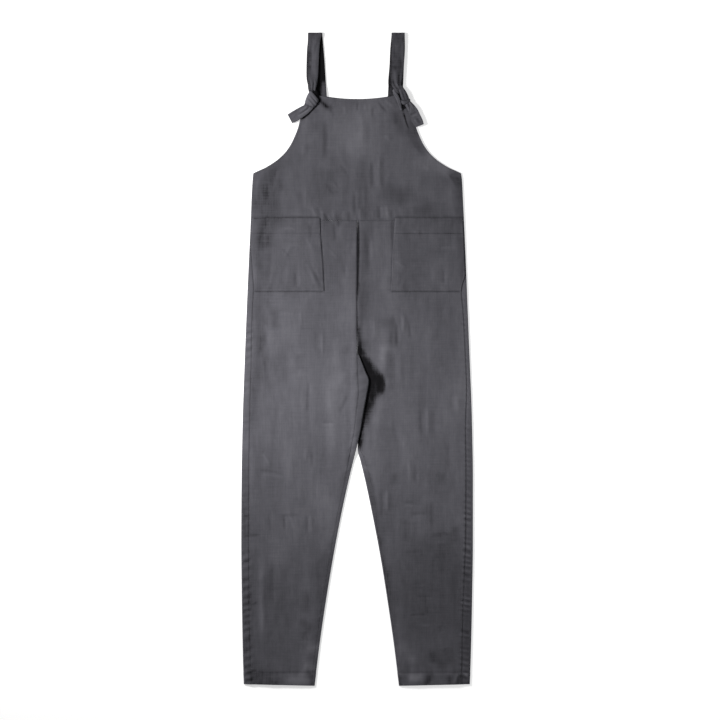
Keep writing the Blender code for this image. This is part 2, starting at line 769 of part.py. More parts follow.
for old in list(bpy.data.objects):
    bpy.data.objects.remove(old)
bpy.context.scene.collection.children.link(bpy.data.collections.new(COLLECTION))

bib_front()
bodice_back()
for wearers_side in SIDES:
    leg_front(wearers_side)
    leg_back(wearers_side)
    pocket(wearers_side)
    strap(wearers_side)
    knot(wearers_side)
    tie_end(wearers_side)
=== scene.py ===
"""Dungarees in washed charcoal linen, laid out flat on their back and seen from straight above.

Lengths are in millimetres: x runs across the garment to the wearer's left, down is the distance
below the shoulder folds and z is the height above the floor. Meshes are made in metres.
"""

import math

import bpy
import numpy as np
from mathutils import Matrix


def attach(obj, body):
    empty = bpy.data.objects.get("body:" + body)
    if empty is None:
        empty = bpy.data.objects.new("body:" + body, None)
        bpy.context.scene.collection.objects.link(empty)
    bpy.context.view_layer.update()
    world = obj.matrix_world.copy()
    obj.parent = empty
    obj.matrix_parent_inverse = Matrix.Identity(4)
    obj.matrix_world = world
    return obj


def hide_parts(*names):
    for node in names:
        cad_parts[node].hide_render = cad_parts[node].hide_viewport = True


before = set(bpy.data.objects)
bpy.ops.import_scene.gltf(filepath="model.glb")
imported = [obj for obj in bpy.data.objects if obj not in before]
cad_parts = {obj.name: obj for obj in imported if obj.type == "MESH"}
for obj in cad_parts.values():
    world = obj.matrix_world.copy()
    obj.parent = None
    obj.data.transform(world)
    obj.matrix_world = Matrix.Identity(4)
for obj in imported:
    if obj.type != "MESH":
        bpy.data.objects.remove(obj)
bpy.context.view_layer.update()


# ---- The picture -------------------------------------------------------------------------------
# A camera straight above the garment, far enough away that nothing leans outwards. The floor is
# a pale table that gives a little light of its own, so shadows on it stay faint and it stays
# white. The key light hangs low on the upper left.

PICTURE_WIDTH = 1.584
PICTURE_CENTRE = (0.0063, -0.0018)
CAMERA_HEIGHT = 8.0
SENSOR = 36.0

camera_data = bpy.data.cameras.new("overhead")
camera_data.sensor_width = SENSOR
camera_data.lens = SENSOR * CAMERA_HEIGHT / PICTURE_WIDTH
camera = bpy.data.objects.new("overhead", camera_data)
camera.location = (*PICTURE_CENTRE, CAMERA_HEIGHT)
bpy.context.scene.collection.objects.link(camera)
bpy.context.scene.camera = camera
bpy.context.scene.view_settings.view_transform = "Standard"


def node(tree, kind, settings=(), inputs=()):
    """Adds a node with its settings. An input is a value, or the output that it is linked to."""
    made = tree.nodes.new(kind)
    for key, value in dict(settings).items():
        setattr(made, key, value)
    for key, value in dict(inputs).items():
        if isinstance(value, bpy.types.NodeSocket):
            tree.links.new(value, made.inputs[key])
        else:
            made.inputs[key].default_value = value
    return made


def linear(code):
    """The linear colour of an sRGB hex value."""
    parts = [int(code[i : i + 2], 16) / 255 for i in (1, 3, 5)]
    return (*[c / 12.92 if c <= 0.04045 else ((c + 0.055) / 1.055) ** 2.4 for c in parts], 1.0)


FLOOR_HALF = 30.0  # metres
FLOOR_DROP = 0.0003  # metres below the garment, so that the two faces don't meet
FLOOR_GLOW, FLOOR_GLOW_RISE = 0.54, 0.25  # in the middle, and more per metre away from the key
table_top = bpy.data.materials.new("white_light_table")
table_top.use_nodes = True
surface = table_top.node_tree.nodes["Principled BSDF"]
surface.inputs["Base Color"].default_value = linear("#fdfdfc")
surface.inputs["Roughness"].default_value = 0.9
surface.inputs["Emission Color"].default_value = linear("#ffffff")
spot_on_table = node(table_top.node_tree, "ShaderNodeTexCoord").outputs["Object"]
spot_on_table = node(table_top.node_tree, "ShaderNodeSeparateXYZ", inputs={"Vector": spot_on_table})
glow = node(table_top.node_tree, "ShaderNodeMath", {"operation": "MULTIPLY_ADD", "use_clamp": True}, {
    0: spot_on_table.outputs["X"], 1: FLOOR_GLOW_RISE, 2: FLOOR_GLOW})
table_top.node_tree.links.new(glow.outputs[0], surface.inputs["Emission Strength"])
floor_mesh = bpy.data.meshes.new("floor")
floor_mesh.from_pydata(
    [(x * FLOOR_HALF, y * FLOOR_HALF, -FLOOR_DROP) for x, y in ((-1, -1), (1, -1), (1, 1), (-1, 1))],
    [], [(0, 1, 2, 3)],
)
floor_mesh.materials.append(table_top)
floor = bpy.data.objects.new("floor", floor_mesh)
bpy.context.scene.collection.objects.link(floor)

world = bpy.data.worlds.new("studio")
world.use_nodes = True
bpy.context.scene.world = world
world.node_tree.nodes.clear()
sky = node(world.node_tree, "ShaderNodeBackground", inputs={"Color": linear("#f6f6f8"), "Strength": 0.2})
node(world.node_tree, "ShaderNodeOutputWorld", inputs={"Surface": sky.outputs["Background"]})

# The key is a soft panel, and a spot in the same place that lights the middle of the garment more
KEY_PLACE, KEY_AIM = (-1.42, 0.53, 1.09), (-0.04, -0.08, 0.0)
key_way = np.array(KEY_AIM) - np.array(KEY_PLACE)
key_tilt = math.acos(-key_way[2] / np.linalg.norm(key_way))
panel = bpy.data.lights.new("key_panel", "AREA")
panel.shape = "DISK"
panel.size = 0.5
panel.energy = 31.0
spot = bpy.data.lights.new("key_spot", "SPOT")
spot.shadow_soft_size = 0.2
spot.spot_size = 0.36
spot.spot_blend = 1.0
spot.energy = 88.0
for lamp in (panel, spot):
    stand = bpy.data.objects.new(lamp.name, lamp)
    stand.location = KEY_PLACE
    stand.rotation_euler = (key_tilt, 0.0, math.atan2(-key_way[0], key_way[1]))
    bpy.context.scene.collection.objects.link(stand)


# ---- Linen -------------------------------------------------------------------------------------
# Plain-woven flax, dyed charcoal and washed. Its yarn is uneven, thick and thin, and the cloth
# hardly shines. The ridges of its creases are painted a little paler and its folds darker, as
# painted light and shade.

THREAD = 0.9  # mm from thread to thread, a third coarser than the real cloth, so that it shows
SLUB = (2.6, 55.0)  # width and length of the thick yarns, also drawn coarse
CLOUD = 14.0  # size of the patches that took the dye unevenly
SLUB_TONE, CLOUD_TONE, WEAVE_TONE = 0.17, 0.26, 0.06  # how far each sets off the tone
LOW_STOP, LOW_MIX = 0.22, 0.65  # a stop between dark and mid, and how near its colour is to mid
WEAVE_DEPTH = 0.00015  # metres


def linen(name, pale, mid, dark):
    """Washed linen. It reads the cloth's own coordinates, across and along its threads, and its
    tone with painted light and shade: 0 in a deep fold, 1 on a ridge."""
    material = bpy.data.materials.new(name)
    material.use_nodes = True
    tree = material.node_tree
    shader = tree.nodes["Principled BSDF"]
    cloth = node(tree, "ShaderNodeAttribute", {"attribute_name": "cloth"}).outputs["Vector"]
    tone_and_shade = node(tree, "ShaderNodeAttribute", {"attribute_name": "tone_and_painted_shade"}).outputs["Fac"]
    split = node(tree, "ShaderNodeSeparateXYZ", inputs={"Vector": cloth})

    patches = []
    for across, along, detail, shift in ((*SLUB, 2, 3), (*SLUB[::-1], 2, 7), (CLOUD, 2.2 * CLOUD, 3, 11)):
        place = node(tree, "ShaderNodeMapping", inputs={
            "Vector": cloth, "Scale": (1000 / across, 1000 / along, 1), "Location": (shift, 0, 0)})
        patches.append(node(tree, "ShaderNodeTexNoise", {"noise_dimensions": "2D"}, {
            "Vector": place.outputs["Vector"], "Scale": 1, "Detail": detail, "Roughness": 0.6}))
    threads = []
    for way_across in ("X", "Y"):
        turned = node(tree, "ShaderNodeMath", {"operation": "MULTIPLY"}, {
            0: split.outputs[way_across], 1: math.pi * 1000 / THREAD})
        threads.append(node(tree, "ShaderNodeMath", {"operation": "SINE"}, {0: turned.outputs[0]}))
    weave = node(tree, "ShaderNodeMath", {"operation": "MULTIPLY"}, {
        0: threads[0].outputs[0], 1: threads[1].outputs[0]})
    slubs = node(tree, "ShaderNodeMath", {"operation": "ADD"}, {
        0: patches[0].outputs["Fac"], 1: patches[1].outputs["Fac"]})

    tone = node(tree, "ShaderNodeMath", {"operation": "MULTIPLY_ADD"}, {
        0: patches[2].outputs["Fac"], 1: CLOUD_TONE, 2: tone_and_shade})
    tone = node(tree, "ShaderNodeMath", {"operation": "MULTIPLY_ADD"}, {
        0: slubs.outputs[0], 1: SLUB_TONE, 2: tone.outputs[0]})
    tone = node(tree, "ShaderNodeMath", {"operation": "MULTIPLY_ADD"}, {
        0: weave.outputs[0], 1: WEAVE_TONE, 2: tone.outputs[0]})
    tone = node(tree, "ShaderNodeMath", {"operation": "SUBTRACT"}, {
        0: tone.outputs[0], 1: SLUB_TONE + CLOUD_TONE / 2})
    ramp = node(tree, "ShaderNodeValToRGB", inputs={"Fac": tone.outputs[0]})
    ramp.color_ramp.elements[0].color = linear(dark)
    ramp.color_ramp.elements[1].color = linear(pale)
    middle = ramp.color_ramp.elements.new(0.5)
    middle.color = linear(mid)
    low = ramp.color_ramp.elements.new(LOW_STOP)
    low.color = [(1 - LOW_MIX) * a + LOW_MIX * b for a, b in zip(linear(dark), linear(mid))]

    height = node(tree, "ShaderNodeMath", {"operation": "ADD"}, {0: slubs.outputs[0], 1: weave.outputs[0]})
    bump = node(tree, "ShaderNodeBump", inputs={
        "Height": height.outputs[0], "Strength": 0.5, "Distance": WEAVE_DEPTH})
    tree.links.new(ramp.outputs["Color"], shader.inputs["Base Color"])
    tree.links.new(bump.outputs["Normal"], shader.inputs["Normal"])
    shader.inputs["Roughness"].default_value = 0.86
    shader.inputs["Specular IOR Level"].default_value = 0.16
    shader.inputs["Sheen Weight"].default_value = 0.04
    shader.inputs["Sheen Roughness"].default_value = 0.45
    return material


body_linen = linen("washed_charcoal_linen", "#7b7a80", "#605f65", "#0e0d10")


# ---- Back of the bodice and of the legs --------------------------------------------------------
# The lowest layer: one panel from the back neckline to the waist seam, and a panel for each leg
# that comes round both edges of the leg to seams on the front. All are single linen, overlocked
# and sewn right side out, and lie flat on the floor.

MM = 0.001
LENGTH = 1436.6  # from the shoulder folds to the hems
QUARTER, TURN = math.pi / 2, 2 * math.pi
WALL = 0.9  # one layer of linen, nap to nap
HEM_WALL = 1.5  # where it is turned up
SEAM = 0.3  # gap between two panels
LOFT = 2.6  # of the front layer above the back layer
PRESSED = 1.55  # the least that the loft can be
BIB_TOP, BACK_TOP = 147.4, 145.9  # necklines at the centre
NECK_RISE, NECK_REACH = 5.7, 68.2  # how much higher they are, and how far out that is
UNDERARM = 309.8
POCKET_TOP, WAIST, POCKET_HEM, POCKET_BOTTOM = 407.7, 413.2, 441.8, 568.5
CROTCH, FORK, FORK_END = 705.0, 709.0, 906.7  # end of the centre seam, and both ends of the lap
HEM_TOP = 1406.5
HEM_SLOPE, HEM_LOW = 0.023, 93.0  # rise of a hem outwards, and how far out it starts
SIDES = {"right": -1, "left": 1}  # the wearer's, with the sign of x there


def table(columns, *rows):
    """A table with named columns."""
    return {name: np.array(column, float) for name, column in zip(columns.split(), zip(*rows))}


def at(levels, column, down):
    """A column of a table at any levels, on a smooth curve that stays between its rows."""
    xs, ys = levels["down"], levels[column]
    down = np.clip(down, xs[0], xs[-1])
    i = np.clip(np.searchsorted(xs, down, side="right") - 1, 0, len(xs) - 2)
    rise = np.diff(ys) / np.diff(xs)
    ends = []
    for beside in (rise[np.maximum(i - 1, 0)], rise[np.minimum(i + 1, len(rise) - 1)]):
        both = beside * rise[i]
        ends.append(np.where(both > 0, 2 * both / np.where(both > 0, beside + rise[i], 1.0), 0.0))
    step = xs[i + 1] - xs[i]
    t = (down - xs[i]) / step
    rows = (2 * t**3 - 3 * t**2 + 1) * ys[i] + (3 * t**2 - 2 * t**3) * ys[i + 1]
    return rows + step * ((t**3 - 2 * t**2 + t) * ends[0] + (t**3 - t**2) * ends[1])


def ease(value):
    """0 below 0, 1 above 1, smooth between."""
    t = np.clip(value, 0.0, 1.0)
    return t * t * (3 - 2 * t)


def bell(distance, width):
    """1 where the distance is 0, fading to nothing over about twice this width."""
    return np.exp(-((distance / width) ** 2))


# The outlines and seams. ARMHOLE and OUTER are distances from the centre line, and INNER, the fold
# at the inner side of each leg, is x itself, because the right leg laps over the centre. The two
# seams are measured from their folds. Beyond the HOLLOW's x the left leg rises.
ARMHOLE = table(
    "down half",
    (136.0, 92.5), (152.5, 104.5), (165.7, 113.3), (178.9, 120.1), (192.1, 125.4), (209.7, 130.0),
    (227.3, 136.8), (244.9, 145.2), (262.5, 157.1), (280.1, 175.3), (288.9, 187.9),
    (297.7, 202.8), (306.5, 222.2), (309.8, 228.6),
)
OUTER = table(
    "down right left",
    (309.8, 228.6, 228.6), (324.1, 230.0, 230.7), (368.1, 232.4, 232.9), (412.1, 234.0, 235.1),
    (500.1, 238.2, 239.0), (588.1, 242.1, 242.3), (720.1, 247.4, 247.6), (852.1, 251.8, 252.5),
    (984.1, 254.2, 254.7), (1116.0, 254.9, 254.7), (1248.0, 253.6, 252.9),
    (1380.0, 251.1, 249.8), (1436.0, 249.0, 247.6),
)
INNER = table(
    "down right left",
    (709.0, 4.2, 1.2), (725.0, 10.5, 2.2), (745.0, 18.5, 2.4), (765.6, 26.0, 2.4),
    (797.0, 21.4, 2.4), (836.7, 14.0, 2.4), (875.0, 7.6, 2.2), (906.7, 0.3, 1.4),
    (918.0, -2.5, 1.4), (940.0, -8.0, 6.9), (984.0, -18.6, 17.5), (1072.0, -37.5, 36.0),
    (1160.0, -53.8, 52.5), (1248.0, -68.3, 66.5), (1336.0, -81.3, 79.5), (1436.0, -93.6, 92.1),
)
SIDE_SEAM = table(
    "down right left",
    (413.2, 0.0, 0.0), (450.0, 0.4, 0.0), (511.0, 7.3, 0.4), (530.0, 9.5, 1.8),
    (568.0, 13.6, 11.5), (619.0, 13.0, 9.0), (764.0, 15.2, 7.9), (872.0, 15.8, 13.4),
    (1105.0, 16.5, 15.3), (1297.0, 15.6, 19.1), (1436.0, 17.3, 18.0),
)
INSEAM = table(
    "down right left",
    (709.0, 3.2, 4.0), (732.0, 11.0, 4.0), (765.6, 23.0, 4.0), (797.0, 17.8, 4.0),
    (836.7, 15.5, 4.0), (875.0, 13.0, 4.0), (906.7, 11.8, 4.6), (935.0, 9.5, 9.2),
    (984.0, 7.5, 11.6), (1030.0, 7.0, 11.8), (1100.0, 6.6, 4.0), (1436.0, 6.6, 3.4),
)
HOLLOW = table(
    "down x",
    (680.0, -14.0), (698.0, 8.0), (728.0, 30.0), (755.0, 50.0), (768.0, 54.0), (784.0, 50.0),
    (806.0, 37.0), (843.0, 22.0), (865.0, 12.0), (903.0, 0.0), (935.0, -14.0),
)
HOLLOW_BANK = 16.0  # from the floor of the hollow to full loft
LAP_RISE = 3.1  # height of the lap over the leg under it
LAP_KNEE, LAP_TOP = 18.0, 1.5  # it rises between these distances right of the centre
LAP_RAMP, LAP_END_RAMP = 45.0, 36.0  # lengths over which it begins and ends
PUFF = 3.0  # further height of the lap's rolled edge, which stands open
BANK_PUFF = 2.5  # height of the left leg's front beyond the hollow
EDGE_STRIP, EDGE_RAMP = 2.0, 22.0  # flat beside a fold, then growing as uneven as the middle
PLUMP = 0.5  # how much the middle of the front lies above its folds


def lap(name, x, down):
    """How high the right leg's inner part lies, down from the fork, over the left leg."""
    if name == "left":
        return np.zeros(np.broadcast(x, down).shape)
    start = ease((down - CROTCH + LAP_RAMP) / LAP_RAMP)
    end = ease((FORK_END + LAP_RAMP - down) / LAP_END_RAMP)
    return LAP_RISE * start * end * ease((x + LAP_KNEE) / (LAP_KNEE - LAP_TOP))


LATTICE = 97  # points each way, after which the pattern comes again


def rumple(x, down, wide, long, seed):
    """Unevenness from about -1 to 1 in patches this wide and long, smooth as pressed cloth."""
    lattice = np.random.default_rng(seed).uniform(-1.7, 1.7, (LATTICE, LATTICE))
    u, v = np.broadcast_arrays(x / wide + 31.7, down / long + 3.1)
    u, v = np.nan_to_num(u), np.nan_to_num(v)
    i, j = np.floor(u).astype(int), np.floor(v).astype(int)

    def spline(t):
        return ((1 - t) ** 3 / 6, (3 * t**3 - 6 * t**2 + 4) / 6,
                (-3 * t**3 + 3 * t**2 + 3 * t + 1) / 6, t**3 / 6)

    total = np.zeros(u.shape)
    for a, wa in enumerate(spline(u - i)):
        for b, wb in enumerate(spline(v - j)):
            total += wa * wb * lattice[(i + a) % LATTICE, (j + b) % LATTICE]
    return total


def creases(strokes, x, down):
    """Height of creases that were placed one by one, each along a slightly bent line."""
    x, down = np.broadcast_arrays(x, down)
    height = np.zeros(x.shape)
    for x1, down1, x2, down2, bend, half, rise in zip(*strokes.values()):
        run = (x2 - x1, down2 - down1)
        length = math.hypot(*run)
        along = ((x - x1) * run[0] + (down - down1) * run[1]) / length**2
        across = ((x - x1) * run[1] - (down - down1) * run[0]) / length
        across = across - 4 * bend * along * (1 - along)
        near = (along > 0) & (along < 1) & (abs(across) < 2.2 * half)
        t = along[near]
        ends = ease(t / 0.3) * ease((1 - t) / 0.3)
        height[near] += rise * ends * np.exp(-1.6 * (across[near] / half) ** 2)
    return height


# Closer spacing: levels next to an edge and round a mark, and places next to both ends of a row
EDGE_LEVELS, EDGE_CLEAR = (0.0, 0.5, 1.2, 2.0), 2.2
MARK_LEVELS, MARK_CLEAR = (-1.7, -0.7, 0.0, 0.7, 1.7), 2.4
FIRST_PLACES = np.array((0.0, 0.5, 1.1, 1.9, 2.9, 4.0, 5.2, 6.6))
LAST_PLACES = np.array((4.0, 2.6, 1.5, 0.7, 0.0))


def levels(start, end, step, *marks):
    """Levels from start to end, a step apart, and closer round each mark."""
    found = list(np.linspace(start, end, int(round((end - start) / step)) + 1))
    for mark in marks:
        found = [level for level in found if abs(level - mark) > MARK_CLEAR]
        found += [mark + beside for beside in MARK_LEVELS]
    inner = sorted(level for level in found if start + EDGE_CLEAR < level < end - EDGE_CLEAR)
    return np.array([start + e for e in EDGE_LEVELS] + inner + [end - e for e in EDGE_LEVELS[::-1]])


def spaced(total, step):
    """Distances from 0 to total for each row, closer together at both ends. total is a column."""
    free = total - FIRST_PLACES[-1] - LAST_PLACES[0]
    share = np.linspace(0, 1, int(round(np.max(free) / step)) + 1)[1:-1]
    first = np.ones_like(total) * FIRST_PLACES
    return np.concatenate([first, FIRST_PLACES[-1] + free * share, total - LAST_PLACES], axis=1)


def shell(name, grid, thick, tone_and_painted_shade, cloth, facing):
    """A closed wall of linen around a grid of points, whose missing points are nan. facing is 1
    if its outer side looks up and -1 if it looks down."""
    there = ~np.isnan(grid[..., 0])
    number = np.full(there.shape, -1)
    number[there] = np.arange(there.sum())
    place = grid[there] * (1, -1, 1) + (0, LENGTH / 2, 0)
    quads = np.stack([number[:-1, :-1], number[1:, :-1], number[1:, 1:], number[:-1, 1:]], -1)
    quads = quads.reshape(-1, 4)
    quads = quads[(quads >= 0).all(1)]
    a, b, c, d = (place[quads[:, k]] for k in range(4))
    slant = np.cross(c - a, d - b)
    if slant[:, 2].sum() * facing < 0:
        quads, slant = quads[:, ::-1], -slant
    normal = np.zeros_like(place)
    for k in range(4):
        np.add.at(normal, quads[:, k], slant)
    normal /= np.linalg.norm(normal, axis=1, keepdims=True) + 1e-12
    half = np.broadcast_to(thick, there.shape)[there][:, None] / 2
    count = len(place)
    edges = np.concatenate([quads[:, [k, (k + 1) % 4]] for k in range(4)])
    key, back = edges @ (count, 1), edges @ (1, count)
    rim = edges[~np.isin(back, key)]
    rim = np.stack([rim[:, 1], rim[:, 0], rim[:, 0] + count, rim[:, 1] + count], -1)
    faces = np.concatenate([quads, quads[:, ::-1] + count, rim])
    points = np.concatenate([place + normal * half, place - normal * half]) * MM
    points[:, 2] = np.maximum(points[:, 2], 0)  # nothing is pressed into the table

    mesh = bpy.data.meshes.new(name)
    mesh.vertices.add(len(points))
    mesh.vertices.foreach_set("co", points.ravel())
    mesh.loops.add(faces.size)
    mesh.loops.foreach_set("vertex_index", faces.ravel().astype(np.int32))
    mesh.polygons.add(len(faces))
    mesh.polygons.foreach_set("loop_start", np.arange(0, faces.size, 4, dtype=np.int32))
    mesh.update(calc_edges=True)
    mesh.validate()
    mesh.shade_smooth()
    mesh.set_sharp_from_angle(angle=math.radians(50))
    tone_and_shade = np.tile(np.broadcast_to(tone_and_painted_shade, there.shape)[there], 2)
    mesh.attributes.new("tone_and_painted_shade", "FLOAT", "POINT").data.foreach_set("value", tone_and_shade.astype(np.float32))
    threads = np.zeros((len(points), 3), np.float32)
    threads[:, :2] = np.tile(cloth[there] * MM, (2, 1))
    mesh.attributes.new("cloth", "FLOAT_VECTOR", "POINT").data.foreach_set("vector", threads.ravel())
    mesh.materials.append(body_linen)
    piece = bpy.data.objects.new(name, mesh)
    bpy.context.scene.collection.objects.link(piece)
    return piece


def sewn(piece, node_name):
    """The piece stands for a node of the frame and is part of the one body."""
    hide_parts(node_name)
    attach(piece, "root")
    return piece


